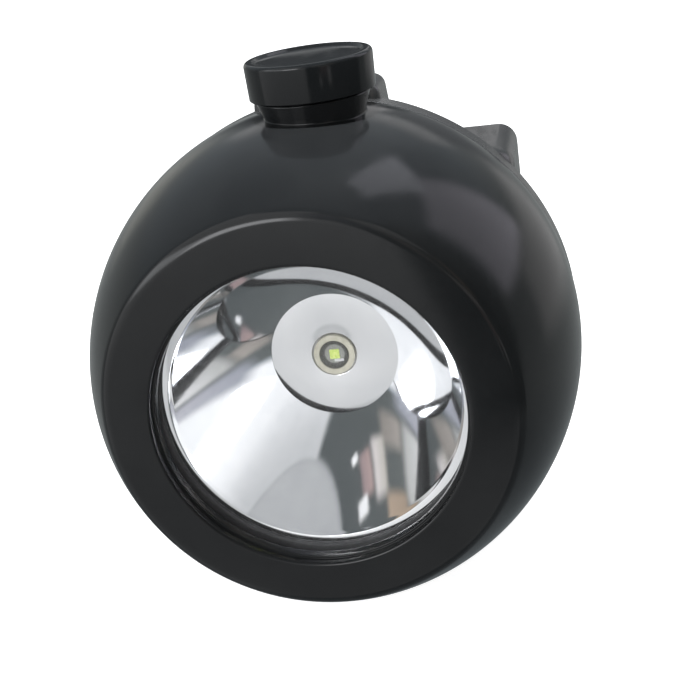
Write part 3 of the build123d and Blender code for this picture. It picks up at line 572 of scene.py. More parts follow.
def board_material():
    """Solder mask with faint copper tracks under it."""
    m = Nodes("board_green")
    cells = m.tree.nodes.new("ShaderNodeTexVoronoi")
    cells.distance = "CHEBYCHEV"
    cells.inputs["Scale"].default_value = 0.35 / MM
    m.join(m.coordinates, cells.inputs["Vector"])
    tracks = m.span(cells.outputs["Distance"], 0.42, 0.46)
    blend = m.span(m.noise(0.3, 3.0), 0.3, 0.7)
    green = m.mix(blend, (0.01, 0.10, 0.035), (0.015, 0.14, 0.05))
    m.colour(m.mix(tracks, green, (0.04, 0.25, 0.09)))
    m.roughness(m.span(m.noise(1.5, 3.0), 0.3, 0.7, 0.28, 0.45))
    m.bump(tracks, 0.03, 0.6)
    return m.material


def led_body_material():
    """Beige moulding with a dark band of painted shade inside its cup, round a bright die pad."""
    m = Nodes("led_body")
    axes = m.split()
    across_x = m.math("MULTIPLY", axes["X"], axes["X"])
    across_z = m.math("MULTIPLY", axes["Z"], axes["Z"])
    square = m.math("ADD", across_x, across_z)
    radius = m.math("MULTIPLY", m.math("SQRT", square), 1 / MM)
    blend = m.span(m.noise(1.0, 4.0), 0.3, 0.7)
    beige = m.mix(blend, (0.50, 0.48, 0.38), (0.62, 0.60, 0.50))
    # the dark band from 1.65 to 2.2 mm out, over the cup's wall, is painted shade in the cup
    ring = m.mix(m.span(radius, 2.2, 2.36), (0.022, 0.022, 0.016), beige)
    m.colour(m.mix(m.span(radius, 1.4, 1.65), (0.29, 0.30, 0.27), ring))
    m.roughness(m.span(m.noise(2.0, 3.0), 0.3, 0.7, 0.3, 0.5))
    m.bump(m.noise(5.0, 3.0), 0.004, 0.6)
    return m.material


SHELL = moulded(
    "shell_black", (0.0050, 0.0054, 0.0058), (0.0072, 0.0077, 0.0081), 0.11, 0.19
)
BUTTON = moulded(
    "button_black", (0.0032, 0.0036, 0.0039), (0.0046, 0.005, 0.0054), 0.1, 0.2, specular=0.27
)
# the rear shell's black plastic, made lighter than the front's: the extra lightness is painted
# light on the rear
LIT_REAR_SHELL = moulded(
    "shell_black_rear_lit",
    (0.022, 0.0225, 0.023),
    (0.028, 0.0285, 0.029),
    0.2,
    0.32,
    grain=0.001,
    specular=0.45,
)
MATERIALS = {
    "shell_black": SHELL,
    "button_black": BUTTON,
    "lens_clear": lens_material(),
    "reflector_mirror": mirror_material(),
    "led_phosphor": phosphor_material(),
    "led_silicone": silicone_material(),
    "board_green": board_material(),
}
# name: darker and lighter colour, roughness, grains per millimetre, grain height
MATTES = {
    "seal_rubber": ((0.012, 0.012, 0.013), (0.022, 0.022, 0.024), 0.72, 5.0, 0.008),
    "led_white": ((0.66, 0.665, 0.68), (0.74, 0.745, 0.755), 0.55, 3.0, 0.006),
    "component_black": ((0.02, 0.02, 0.021), (0.04, 0.04, 0.042), 0.5, 6.0, 0.01),
    "cell_wrap": ((0.03, 0.09, 0.30), (0.05, 0.13, 0.40), 0.35, 2.0, 0.004),
    "foam": ((0.03, 0.03, 0.03), (0.06, 0.06, 0.06), 0.85, 2.0, 0.12),
    "red_insulation": ((0.40, 0.015, 0.015), (0.55, 0.03, 0.03), 0.5, 3.0, 0.01),
    "black_insulation": ((0.012, 0.012, 0.012), (0.025, 0.025, 0.025), 0.5, 3.0, 0.01),
}
ROLLED = (1.0, 1.0, 0.12)  # marks drawn out along Z
BRUSHED = (1.0, 1.0, 0.04)
# name: darker and lighter colour, lowest and highest roughness, direction of the marks, depth
METALS = {
    "aluminium_plate": ((0.60, 0.60, 0.62), (0.74, 0.74, 0.76), 0.28, 0.42, ROLLED, 0.002),
    "steel": ((0.42, 0.42, 0.43), (0.58, 0.58, 0.595), 0.2, 0.36, BRUSHED, 0.004),
    "screw_steel": ((0.35, 0.35, 0.37), (0.52, 0.52, 0.54), 0.22, 0.36, None, 0.003),
    "brass_contact": ((0.58, 0.42, 0.17), (0.80, 0.62, 0.30), 0.18, 0.3, None, 0.002),
}
for name, values in MATTES.items():
    MATERIALS[name] = matte(name, *values)
for name, values in METALS.items():
    MATERIALS[name] = metal(name, *values)

# every CAD node starts with its slot's material; the pieces made below replace those that show
for part in frame["record"]["subparts"]:
    node = frame["nodes"].get(part["node"])
    if node is not None:
        for holder in node.material_slots:
            holder.material = MATERIALS[part["material_slot"]]


# ------------------------------------------------------------------ front shell
def crest_points():
    """The fillet between the flat bezel and the dome, found where its circle touches both."""
    lip = Vector((BEZEL_R, 0.0))
    edge = Vector((dome_radius(CREST_DEPTH), CREST_DEPTH)) - lip
    edge.normalize()
    front = Vector((edge.y, -edge.x))  # points forward, away from the bezel
    low, high = CREST_DEPTH, CREST_DEPTH + 8.0
    for _ in range(60):  # halves the range until the circle touches the bezel
        depth = (low + high) / 2
        out = Vector((dome_radius(depth) / DOME_R**2, (depth - DOME_MIDDLE) / DOME_LENGTH**2))
        out.normalize()
        centre = Vector((dome_radius(depth), depth)) - out * CREST_FILLET
        behind = -(centre - lip).dot(front)
        if behind > CREST_FILLET:
            high = depth
        else:
            low = depth
    start = math.degrees(math.atan2(front.y, front.x))
    end = math.degrees(math.atan2(out.y, out.x))
    return arc(centre, CREST_FILLET, start, end, 14), depth


def shell_profile():
    """Outline of the front shell: crest, dome, seam edge, hollow and the stepped throat."""
    crest, crest_end = crest_points()
    outline = list(crest)
    steps = 72
    last = SEAM - 0.5  # the seam's edge is eased from here
    for i in range(1, steps + 1):
        depth = crest_end + (last - crest_end) * i / steps
        outline.append((dome_radius(depth), depth))
    edge_r = dome_radius(SEAM)
    outline += [
        (edge_r - 0.02, SEAM - 0.33),
        (edge_r - 0.12, SEAM - 0.16),
        (edge_r - 0.28, SEAM - 0.04),
        (edge_r - 0.5, SEAM),
    ]
    steps = 40
    for i in range(steps + 1):
        depth = SEAM + (HOLLOW_FRONT - SEAM) * i / steps
        outline.append((dome_radius(depth, WALL), depth))
    bore = [
        (HOLLOW_R, HOLLOW_FRONT, 0.0),
        (HOLLOW_R, LENS_SEAT_END, 0.2),
        (LENS_SEAT_R, LENS_SEAT_END, 0.2),
        (LENS_SEAT_R, LENS_FRONT, 0.0),
        (THROAT_R, LENS_FRONT, 0.15),
        (THROAT_R, LIP_STEP_DEPTH, 0.14),
        (LIP_STEP_R, LIP_STEP_DEPTH, 0.1),
        (LIP_STEP_R, 0.02, 0.42),
        (24.0, 0.36, 0.0),
    ]
    return outline + rounded(bore, 5)[:-1]


dome = beam_ring(shell_profile(), 288)
NECK_HOLE_R = TURRET_RADII[0] - 0.2
hole = upright_ring([(0, 30.0), (NECK_HOLE_R, 30.0), (NECK_HOLE_R, 44.0), (0, 44.0)], 96)
front_shell = link("front_shell_dome", combine(dome, [hole], "DIFFERENCE"), 28.0)
finish_piece(front_shell, SHELL, "body", "shell_black", "front_shell")


def turret_wall(height):
    """Outer radius of the neck: nearly straight below, then flaring to the top."""
    low_r, middle_r, top_r = TURRET_RADII
    if height > TURRET_MIDDLE:
        slope = (top_r - middle_r) / (TURRET_TOP - TURRET_MIDDLE)
        return middle_r + (height - TURRET_MIDDLE) * slope
    return low_r + (height - TURRET_LOW) * (middle_r - low_r) / (TURRET_MIDDLE - TURRET_LOW)


def turret_mesh():
    """The neck under the button: its foot sweeps into the dome all the way round."""
    foot_rise = 0.25
    foot_reach = 0.16
    wall_steps = 4
    foot_steps = 10
    low_r, middle_r, top_r = TURRET_RADII
    wall_top = TURRET_TOP - 0.18
    inside = [
        (STEM_BORE_R, TURRET_FLOOR),
        (STEM_BORE_R, STEM_SEAL_LOW),
        (STEM_SEAL_R, STEM_SEAL_LOW + 0.1),
        (STEM_SEAL_R, SPRING_SEAT - 0.1),
        (STEM_SEAL_R + 0.1, SPRING_SEAT),
        (SPRING_WELL_R - 0.1, SPRING_SEAT),
        (SPRING_WELL_R, SPRING_SEAT + 0.1),
        (SPRING_WELL_R, TURRET_TOP - 0.2),
        (SPRING_WELL_R + 0.1, TURRET_TOP - 0.06),
        (SPRING_WELL_R + 0.25, TURRET_TOP),
        (top_r - 0.25, TURRET_TOP),
        (top_r - 0.1, TURRET_TOP - 0.05),
        (top_r - 0.05, wall_top),
    ]
    segments = 160
    sections = []
    for k in range(segments):
        angle = 2 * math.pi * k / segments
        ux, uy = math.cos(angle), math.sin(angle)

        def skin(radius):
            return dome_top(BUTTON_X + radius * ux, BUTTON_Y + radius * uy)

        column = list(inside)
        ground = skin(middle_r)
        start = min(ground + foot_rise, TURRET_TOP - 0.3)
        for i in range(1, wall_steps + 1):
            height = wall_top + (start - wall_top) * i / wall_steps
            column.append((turret_wall(height), height))
        end_radius = turret_wall(ground) + foot_reach
        top = Vector((turret_wall(start), start))
        knee = Vector((turret_wall(ground), skin(turret_wall(ground))))
        end = Vector((end_radius, skin(end_radius) - 0.004))
        for i in range(1, foot_steps + 1):
            t = i / foot_steps
            point = top * (1 - t) ** 2 + knee * (2 * t * (1 - t)) + end * t**2
            column.append((point.x, point.y))
        column.append((end_radius - 0.25, end.y - 0.35))
        column.append((middle_r - 0.1, ground - 0.6))
        column.append((low_r, TURRET_FLOOR))
        sections.append([(BUTTON_X + r * ux, BUTTON_Y + r * uy, h) for r, h in column])
    return loft_mesh(sections, ring=True)


turret = link("button_turret", turret_mesh(), 34.0)
finish_piece(turret, SHELL, "body", "shell_black", "front_shell")

# ------------------------------------------------------------------ lens, seal, reflector
lens_outline = rounded(
    [(0, LENS_FRONT, 0), (LENS_R, LENS_FRONT, 0.2), (LENS_R, LENS_BACK, 0.2), (0, LENS_BACK, 0)], 3
)
lens = link("lens_window", beam_ring(lens_outline))
finish_piece(lens, MATERIALS["lens_clear"], "body", "lens_clear", "lens")

seal_outline = rounded(
    [
        (SEAL_R, SEAL_FRONT, 0.25),
        (LENS_R, SEAL_FRONT, 0.1),
        (LENS_R, SEAL_BACK, 0.1),
        (SEAL_R, SEAL_BACK, 0.25),
    ],
    4,
)
seal = link("lens_seal_ring", beam_ring(seal_outline))
finish_piece(seal, MATERIALS["seal_rubber"], "body", "seal_rubber", "lens_seal")


def bowl_points(steps):
    """The paraboloid from the rim to the aperture."""
    k = (RIM_R**2 - APERTURE_R**2) / (APERTURE_DEPTH - RIM_DEPTH)
    vertex = APERTURE_DEPTH + APERTURE_R**2 / k
    points = []
    for i in range(steps + 1):
        radius = RIM_R + (APERTURE_R - RIM_R) * i / steps
        points.append((radius, vertex - radius**2 / k))
    return points


def reflector_profile():
    """The bowl with its flat rim and a thin back that follows it."""
    inner = bowl_points(64)
    inner[0] = (RIM_R, RIM_DEPTH + 0.12)
    lip = [(RIM_R + 0.12, RIM_DEPTH), (RIM_R + 0.03, RIM_DEPTH + 0.04)]
    start = (APERTURE_OUTER_R, APERTURE_DEPTH - 1.0)
    control = (17.0, 17.2)
    end = (RIM_OUTER_R, RIM_BACK)
    outer = [(APERTURE_OUTER_R, APERTURE_DEPTH), start]
    steps = 17
    for i in range(1, steps):
        t = i / steps
        weights = ((1 - t) ** 2, 2 * t * (1 - t), t * t)
        spots = (start, control, end)
        outer.append(tuple(sum(w * spot[k] for w, spot in zip(weights, spots)) for k in (0, 1)))
    outer += [
        end,
        (LENS_R - 0.1, RIM_BACK),
        (LENS_R, RIM_BACK - 0.1),
        (LENS_R, RIM_DEPTH + 0.1),
        (LENS_R - 0.1, RIM_DEPTH),
    ]
    return lip + inner + outer


reflector = link("reflector_bowl", beam_ring(reflector_profile(), 288), 40.0)
finish_piece(reflector, MATERIALS["reflector_mirror"], "body", "reflector_mirror", "reflector")

# ------------------------------------------------------------------ LED
disc_outline = rounded(
    [
        (DISC_HOLE_R, DISC_FRONT, 0.12),
        (DISC_R, DISC_FRONT, 0.1),
        (DISC_R, DISC_BACK, 0.1),
        (DISC_HOLE_R, DISC_BACK, 0.05),
    ],
    4,
)
disc = link("led_disc_plate", beam_ring(disc_outline, 160))
finish_piece(disc, MATERIALS["reflector_mirror"], "body", "reflector_mirror", "led_disc")

led_outline = rounded(
    [
        (0, CUP_FLOOR, 0),
        (CUP_FLOOR_R, CUP_FLOOR, 0.1),
        (CUP_R, LED_FRONT, 0.08),
        (LED_R, LED_FRONT, 0.16),
        (LED_R, DISC_BACK, 0.05),
        (0, DISC_BACK, 0),
    ],
    4,
)
led_body = link("led_body_cup", beam_ring(led_outline, 128), 25.0)
finish_piece(led_body, led_body_material(), "body", "led_white", "led_base")


def plate_mesh(low, high, corner, levels):
    """A small rounded plate on the cup's floor; levels holds (inset, depth) pairs."""
    sections = []
    for inset, depth in levels:
        x0, z0, x1, z1 = low[0] + inset, low[1] + inset, high[0] - inset, high[1] - inset
        corners = [(x0, z0, corner), (x1, z0, corner), (x1, z1, corner), (x0, z1, corner)]
        sections.append(across(rounded(corners, 2), depth))
    return loft_mesh(sections)


chip_levels = ((0.0, CUP_FLOOR), (0.0, CHIP_FRONT + 0.04), (0.05, CHIP_FRONT))
chip_mesh = plate_mesh((-CHIP_HALF, -CHIP_HALF), (CHIP_HALF, CHIP_HALF), 0.06, chip_levels)
chip = link("led_chip_die", chip_mesh)
finish_piece(chip, MATERIALS["led_phosphor"], "body", "led_phosphor", "led_chip")

# a pale strip on the cup's floor beside the die
strip_levels = ((0.0, CUP_FLOOR), (0.0, CUP_FLOOR - 0.05), (0.05, CUP_FLOOR - 0.08))
pale_floor_strip = link("led_pale_floor_strip", plate_mesh((-0.15, -1.25), (1.3, -0.85), 0.08, strip_levels))
finish_piece(pale_floor_strip, MATERIALS["led_white"], "body", "led_white", "led_base")


def silicone_profile():
    """The clear dome, hollowed where it sits over the die."""
    steps, hollow_steps = 16, 8
    hollow_r, hollow_height = 1.3, 0.55
    outline = [(SILICONE_R, CUP_FLOOR)]
    for i in range(1, steps):
        t = math.pi / 2 * i / steps
        outline.append((SILICONE_R * math.cos(t), CUP_FLOOR - SILICONE_HEIGHT * math.sin(t)))
    outline += [(0.0, CUP_FLOOR - SILICONE_HEIGHT), (0.0, CUP_FLOOR - hollow_height)]
    for i in range(1, hollow_steps):
        t = math.pi / 2 * i / hollow_steps
        outline.append((hollow_r * math.sin(t), CUP_FLOOR - hollow_height * math.cos(t)))
    return outline + [(hollow_r, CUP_FLOOR)]


dome_lens = link("led_dome_clear", beam_ring(silicone_profile(), 96))
finish_piece(dome_lens, MATERIALS["led_silicone"], "body", "led_silicone", "led_dome")


# ------------------------------------------------------------------ push button
def cap_profile():
    """The cap: a dished top with a raised rim, a soft outer edge, a skirt and a hollow below."""
    steps = 14
    dish_rise = DISH_FLOOR - DISH_EDGE
    dish = []
    for i in range(1, steps + 1):
        height = BUTTON_TOP - DISH_FLOOR + dish_rise * (i / steps) ** 2
        dish.append((DISH_R * i / steps, height))
    rest = [
        (DISH_R, BUTTON_TOP - DISH_EDGE, 0),
        (DISH_R + 0.4, BUTTON_TOP - 0.36, 0.3),
        (DISH_R + 0.9, BUTTON_TOP, 0.16),
        (BUTTON_R, BUTTON_TOP, 0.62),
        (BUTTON_R - 0.15, BUTTON_BOTTOM, 0.15),
        (CAP_SKIRT_R, BUTTON_BOTTOM, 0.1),
        (CAP_SKIRT_R, CAP_CEILING, 0.2),
        (CAP_BOSS_R, CAP_CEILING, 0.1),
        (CAP_BOSS_R, CAP_BOSS_TOP, 0.1),
        (0, CAP_BOSS_TOP, 0),
    ]
    return [(0.0, BUTTON_TOP - DISH_FLOOR)] + dish + rounded(rest, 6)[1:]


cap = link("button_cap_round", upright_ring(cap_profile(), 192), 40.0)
finish_piece(cap, BUTTON, "button", "button_black", "button_cap")

COIL_R = 4.9
COIL_WIRE = 0.3
COIL_LOW = SPRING_SEAT + 0.35
COIL_HIGH = CAP_CEILING - 0.35
COIL_TURNS = 5


def coil_mesh():
    """The return spring: a round wire wound upwards."""
    steps_per_turn = 40
    sides = 12
    steps = COIL_TURNS * steps_per_turn
    ring = [2 * math.pi * k / sides for k in range(sides)]
    sections = []
    for i in range(steps + 1):
        angle = 2 * math.pi * i / steps_per_turn
        height = COIL_LOW + (COIL_HIGH - COIL_LOW) * i / steps
        out = Vector((math.cos(angle), math.sin(angle), 0.0))
        centre = out * COIL_R + Vector((BUTTON_X, BUTTON_Y, height))
        section = []
        for t in ring:
            along = out * (COIL_WIRE * math.cos(t))
            section.append(centre + along + Vector((0, 0, COIL_WIRE * math.sin(t))))
        sections.append(section)
    return loft_mesh(sections)


spring = link("button_spring_coil", coil_mesh(), 60.0)
finish_piece(spring, MATERIALS["steel"], "body", "steel", "button_spring")
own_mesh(spring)

# ------------------------------------------------------------------ gasket and rear shell
gasket_outline = rounded(
    [
        (SPIGOT_R, SEAM, 0),
        (GASKET_R, SEAM, 0.1),
        (GASKET_R, FLANGE_FRONT, 0.1),
        (SPIGOT_R, FLANGE_FRONT, 0),
    ],
    4,
)
gasket = link("body_gasket_ring", beam_ring(gasket_outline, 256))
finish_piece(gasket, MATERIALS["seal_rubber"], "body", "seal_rubber", "body_gasket")

PLATE_OUTLINE = rounded(
    [
        (0, PLATE_FRONT, 0),
        (FLANGE_LIP_R, PLATE_FRONT, 0.4),
        (FLANGE_LIP_R, FLANGE_FRONT, 0.1),
        (FLANGE_R, FLANGE_FRONT, 0.4),
        (FLANGE_R, PLATE_BACK, 1.8),
        (0, PLATE_BACK, 0),
    ],
    10,
)


def box_outline(width, height, corner, depth, steps=8):
    """A rounded rectangle across the beam."""
    x, z = width / 2, height / 2
    corners = [(-x, -z, corner), (x, -z, corner), (x, z, corner), (-x, z, corner)]
    return across(rounded(corners, steps), depth)


def housing_mesh():
    """Battery housing: it runs out behind the flange in front, and its back edges are rounded."""
    sections = []
    for shrink, depth in ((1.3, 38.4), (0.8, 39.2), (0.3, 40.4), (0.0, 42.2)):
        width, height = HOUSING_W - 2 * shrink, HOUSING_H - 2 * shrink
        sections.append(box_outline(width, height, HOUSING_CORNER, depth))
    edge = 1.8
    steps = 8
    for i in range(steps + 1):
        turn = math.radians(90 * i / steps)
        shrink = edge * (1 - math.cos(turn))
        width, height = HOUSING_W - 2 * shrink, HOUSING_H - 2 * shrink
        depth = BACK - edge + edge * math.sin(turn)
        sections.append(box_outline(width, height, HOUSING_CORNER - shrink, depth))
    return loft_mesh(sections)


def saddle_mesh():
    """The raised block behind the button, with soft edges all round."""
    front_edge, back_edge = 1.7, 0.9
    foot_z, foot_half_w, top_half_w = 24.0, 10.9, 9.7
    quarter = [math.pi / 2 * i / 6 for i in range(7)]
    levels = []
    for t in quarter:
        depth = SADDLE_FRONT + front_edge * (1 - math.cos(t))
        levels.append((front_edge * (1 - math.sin(t)), depth))
    for t in quarter:
        depth = SADDLE_BACK + back_edge * (math.sin(t) - 1)
        levels.append((back_edge * (1 - math.cos(t)), depth))
    sections = []
    for shrink, depth in levels:
        foot, top, height = foot_half_w - shrink, top_half_w - shrink, SADDLE_TOP - shrink
        corner = 2.0 - shrink * 0.6
        outline = [
            (-foot, foot_z, 0.3),
            (foot, foot_z, 0.3),
            (top, height, corner),
            (-top, height, corner),
        ]
        sections.append(across(rounded(outline, 8), depth))
    return loft_mesh(sections)


CASE_SCREWS = []
for degrees in CASE_SCREW_ANGLES:
    turn = math.radians(degrees)
    CASE_SCREWS.append((CASE_SCREW_CIRCLE * math.cos(turn), CASE_SCREW_CIRCLE * math.sin(turn)))

# bore and counterbore for a case screw, its mouth slightly wider
CASE_BORE = [
    (0, 35.0),
    (1.6, 35.0),
    (1.6, 39.9),
    (2.9, 39.9),
    (2.9, PLATE_BACK - 0.15),
    (3.05, PLATE_BACK),
    (3.05, PLATE_BACK + 0.9),
    (0, PLATE_BACK + 0.9),
]
CLIP_PILOT = [(0, 41.0), (1.2, 41.0), (1.2, 48.5), (0, 48.5)]
CONTACT_BORE = [(0, -26.0), (1.65, -26.0), (1.65, -23.0), (0, -23.0)]


def rear_mesh():
    """Flange, round back, battery housing and saddle in one, with their cavity and holes."""
    solid = combine(beam_ring(PLATE_OUTLINE, 256), [housing_mesh(), saddle_mesh()], "UNION")
    width, height = HOUSING_W - 2 * HOUSING_WALL, HOUSING_H - 2 * HOUSING_WALL
    cutters = [loft_mesh([box_outline(width, height, 1.8, depth) for depth in (38.6, 57.0)])]
    for x, z in CASE_SCREWS:
        cutters.append(beam_ring(CASE_BORE, 48, x, z))
    for x in (-CLIP_SCREW_X, CLIP_SCREW_X):
        cutters.append(beam_ring(CLIP_PILOT, 32, x, CLIP_SCREW_Z))
    for x in (-CONTACT_X, CONTACT_X):
        cutters.append(upright_ring(CONTACT_BORE, 32, x, y_at(CONTACT_DEPTH)))
    return combine(solid, cutters, "DIFFERENCE")


rear = keep_flats_flat(link("rear_shell_housing", rear_mesh(), 30.0))
# the rear shell gets the lighter copy of the black plastic, its extra lightness painted light
finish_piece(rear, LIT_REAR_SHELL, "body", "shell_black", "rear_shell")


# ------------------------------------------------------------------ screws and contacts
def cross_cutter(x, z, depth, reach):
    """A cross-shaped driver recess, tapering towards its floor."""
    half, arm = 0.35, reach / 2
    down = 0.85
    corners = []
    for turn in range(4):
        for a, b in ((-half, -arm), (half, -arm), (half, -half)):
            for _ in range(turn):
                a, b = -b, a
            corners.append((a, b))
    sections = []
    for scale, at in ((1.06, depth + 0.4), (1.0, depth), (0.72, depth - down)):
        sections.append([(x + a * scale, y_at(at), z + b * scale) for a, b in corners])
    return loft_mesh(sections)


def screw_mesh(x, z, head, shank, reach):
    """A pan-head screw: head is (radius, back, front) and shank is (radius, front)."""
    head_r, head_back, head_front = head
    shank_r, shank_front = shank
    outline = rounded(
        [
            (0, head_back, 0),
            (head_r * 0.72, head_back, 0.8),
            (head_r, head_back - 0.55, 0.35),
            (head_r, head_front, 0.08),
            (shank_r, head_front, 0),
            (shank_r, shank_front + 0.6, 0),
            (shank_r * 0.4, shank_front, 0),
            (0, shank_front, 0),
        ]
    )
    recess = cross_cutter(x, z, head_back, reach)
    return combine(beam_ring(outline, 64, x, z), [recess], "DIFFERENCE")


def screw_set(name, node, meshes):
    """Several screws as one piece."""
    piece = link(name, merged(meshes))
    finish_piece(piece, MATERIALS["screw_steel"], "body", "screw_steel", node)


case_head, case_shank = (2.7, 41.6, 40.0), (1.25, 31.1)
case_meshes = [screw_mesh(x, z, case_head, case_shank, 3.0) for x, z in CASE_SCREWS]
screw_set("case_screw_set", "case_screws", case_meshes)

clip_head, clip_shank = (2.6, 50.7, 49.2), (1.15, 41.8)
clip_places = ((-CLIP_SCREW_X, CLIP_SCREW_Z), (CLIP_SCREW_X, CLIP_SCREW_Z))
clip_meshes = [screw_mesh(x, z, clip_head, clip_shank, 2.8) for x, z in clip_places]
screw_set("clip_screw_set", "clip_screws", clip_meshes)


def stud_mesh(x):
    """A charging contact: a stepped face, a chamfered rim and its threaded shank."""
    top = -HOUSING_H / 2
    outline = rounded(
        [
            (0, top - 0.5, 0),
            (1.5, top - 0.5, 0.05),
            (1.62, top - 0.6, 0.05),
            (2.75, top - 0.6, 0.2),
            (3.0, top - 0.3, 0.1),
            (3.0, top, 0.02),
            (1.6, top, 0),
            (1.6, top + 4.0, 0.2),
            (0, top + 4.0, 0),
        ],
        4,
    )
    return upright_ring(outline, 72, x, y_at(CONTACT_DEPTH))


studs = merged([stud_mesh(-CONTACT_X), stud_mesh(CONTACT_X)])
contacts = link("charge_contact_studs", studs)
finish_piece(contacts, MATERIALS["brass_contact"], "body", "brass_contact", "charge_contacts")


# ------------------------------------------------------------------ helmet clip
def clip_line():
    """The strip's middle line in (y, z), in steps of at most half a millimetre."""
    corners = [
        (-10.4, 36.4, 0.0),
        (-10.4, 28.0, 1.4),
        (5.6, 28.0, 3.0),
        (5.6, -11.0, 3.0),
        (7.2, -15.0, 0.0),
    ]
    line = [Vector(corners[0][:2])]
    for before, (y, z, radius), after in zip(corners, corners[1:], corners[2:]):
        line += [Vector(point) for point in bend(before[:2], (y, z), after[:2], radius, 12)]
    line.append(Vector(corners[-1][:2]))
    dense = []
    for one, two in zip(line, line[1:]):
        parts = max(1, int((two - one).length / 0.5))
        dense += [one.lerp(two, k / parts) for k in range(parts)]
    dense.append(line[-1])
    return dense


def clip_mesh():
    """A bent steel strip with rounded ends and rolled edges."""
    edge = 0.28
    line = clip_line()
    lengths = [0.0]
    for one, two in zip(line, line[1:]):
        lengths.append(lengths[-1] + (two - one).length)
    sections = []
    for i, point in enumerate(line):
        along = line[min(i + 1, len(line) - 1)] - line[max(i - 1, 0)]
        along.normalize()
        normal = Vector((-along.y, along.x))
        end = min(lengths[i], lengths[-1] - lengths[i])
        width = CLIP_HALF_W
        if end < CLIP_END_R:
            width += math.sqrt(CLIP_END_R**2 - (CLIP_END_R - end) ** 2) - CLIP_END_R
        half = CLIP_THICK / 2
        corners = [
            (-width, -half, edge),
            (width, -half, edge),
            (width, half, edge),
            (-width, half, edge),
        ]
        section = []
        for x, t in rounded(corners, 3):
            spot = point + normal * t
            section.append((x, spot.x, spot.y))
        sections.append(section)
    hole = [(0, 47.0), (1.6, 47.0), (1.6, 50.5), (0, 50.5)]
    holes = [beam_ring(hole, 32, x, CLIP_SCREW_Z) for x in (-CLIP_SCREW_X, CLIP_SCREW_X)]
    return combine(loft_mesh(sections), holes, "DIFFERENCE")


clip = keep_flats_flat(link("helmet_clip_strip", clip_mesh(), 50.0))
finish_piece(clip, MATERIALS["steel"], "body", "steel", "helmet_clip")

# ------------------------------------------------------------------ studio
FLOOR_Z = cad_low.z / MM - 0.05
FLOOR_REACH = 30000.0  # from the middle to each side, so far that its edge never shows


def floor_mesh():
    """One large square under the lamp."""
    bm = bmesh.new()
    for x, y in ((-1, -1), (1, -1), (1, 1), (-1, 1)):
        bm.verts.new((x * FLOOR_REACH, y * FLOOR_REACH, FLOOR_Z))
    bm.faces.new(bm.verts)
    return mesh_from(bm)


def floor_material():
    """White paper, lit from within so that it stays white."""
    m = Nodes("floor_paper")
    m.colour(m.mix(m.noise(0.01, 2.0), (0.48, 0.48, 0.48), (0.52, 0.52, 0.52)))
    m.roughness(m.span(m.noise(0.05, 2.0), 0.3, 0.7, 0.8, 0.95))
    m.set(Emission_Color=(1.0, 1.0, 1.0, 1.0), Emission_Strength=0.92)
    return m.material


floor = link("studio_floor", floor_mesh())
floor.data.materials.append(floor_material())
floor.visible_glossy = False

# ------------------------------------------------------------------ surroundings
WORLD_BELOW = (0.17, 0.19, 0.20)
WORLD_LOW = (0.31, 0.33, 0.33)
WORLD_HIGH = (0.34, 0.38, 0.41)
WHITE = (1.22, 1.23, 1.24)
PALE = (0.66, 0.67, 0.68)
TABLE = (0.53, 0.54, 0.55)
DARK = (0.085, 0.098, 0.10)
STRIP = (9.0, 9.1, 9.3)
STRIP_DIM = (4.2, 4.3, 4.4)
# (azimuths, elevations, softness, tone at the foot, tone at the head where it differs), in
# degrees as the lamp sees them; azimuth 0 is along its beam. A white wall stands to the left
# and ahead, a table lies below, and the open room to the right is dark with brighter things in it.
WORLD_PATCHES = (
    ((-92.0, 50.0), (-64.0, -26.5), 3.0, TABLE),
    ((-88.0, 3.5), (-27.0, 16.0), 1.2, PALE, WHITE),
    ((-88.0, 2.0), (13.0, 68.0), 3.0, WHITE),
    ((-78.0, -30.0), (15.0, 31.0), 4.0, STRIP_DIM),
    ((-38.0, -11.0), (15.0, 31.0), 4.0, STRIP),
    ((5.0, 108.0), (-26.0, 62.0), 1.5, DARK, (0.15, 0.165, 0.16)),
    ((-7.0, 12.0), (27.0, 60.0), 6.0, (0.42, 0.44, 0.50), (0.62, 0.62, 0.68)),
    ((16.0, 50.0), (33.0, 58.0), 4.0, (0.62, 0.62, 0.60), (0.95, 0.95, 0.95)),
    ((17.0, 31.0), (13.0, 31.0), 3.5, (0.34, 0.31, 0.28), (0.46, 0.42, 0.38)),
    ((27.0, 46.0), (3.0, 14.0), 2.5, (0.86, 0.80, 0.78), (0.66, 0.62, 0.56)),
    ((29.0, 43.0), (-8.0, 1.0), 2.0, (0.40, 0.30, 0.30), (0.52, 0.38, 0.36)),
    ((46.0, 56.0), (13.0, 32.0), 2.5, (0.56, 0.43, 0.32), (0.44, 0.34, 0.25)),
    ((26.5, 29.5), (-13.5, -9.0), 1.0, (1.2, 1.2, 1.2)),
    ((42.0, 47.0), (-13.0, -5.0), 1.2, (1.1, 1.1, 1.1), (1.2, 1.2, 1.2)),
    ((112.0, 142.0), (9.0, 46.0), 3.0, (1.30, 1.26, 1.40)),
    ((134.0, 158.0), (44.0, 66.0), 1.5, (1.75, 1.78, 1.95)),
    ((126.0, 165.0), (-12.0, 8.0), 4.0, (0.60, 0.60, 0.60)),
    ((-156.0, -140.0), (-2.0, 12.0), 4.0, (0.52, 0.53, 0.50)),
    ((-181.0, -156.0), (17.0, 26.0), 2.5, (0.80, 0.81, 0.82), (0.60, 0.61, 0.62)),
    ((163.0, 181.0), (17.0, 26.0), 2.5, (0.80, 0.81, 0.82), (0.60, 0.61, 0.62)),
    ((-181.0, -160.0), (2.0, 17.0), 3.0, (0.06, 0.065, 0.07)),
    ((-181.0, -174.0), (9.0, 18.0), 1.5, (0.62, 0.62, 0.63)),
    ((165.0, 181.0), (2.0, 17.0), 3.0, (0.20, 0.21, 0.22)),
)


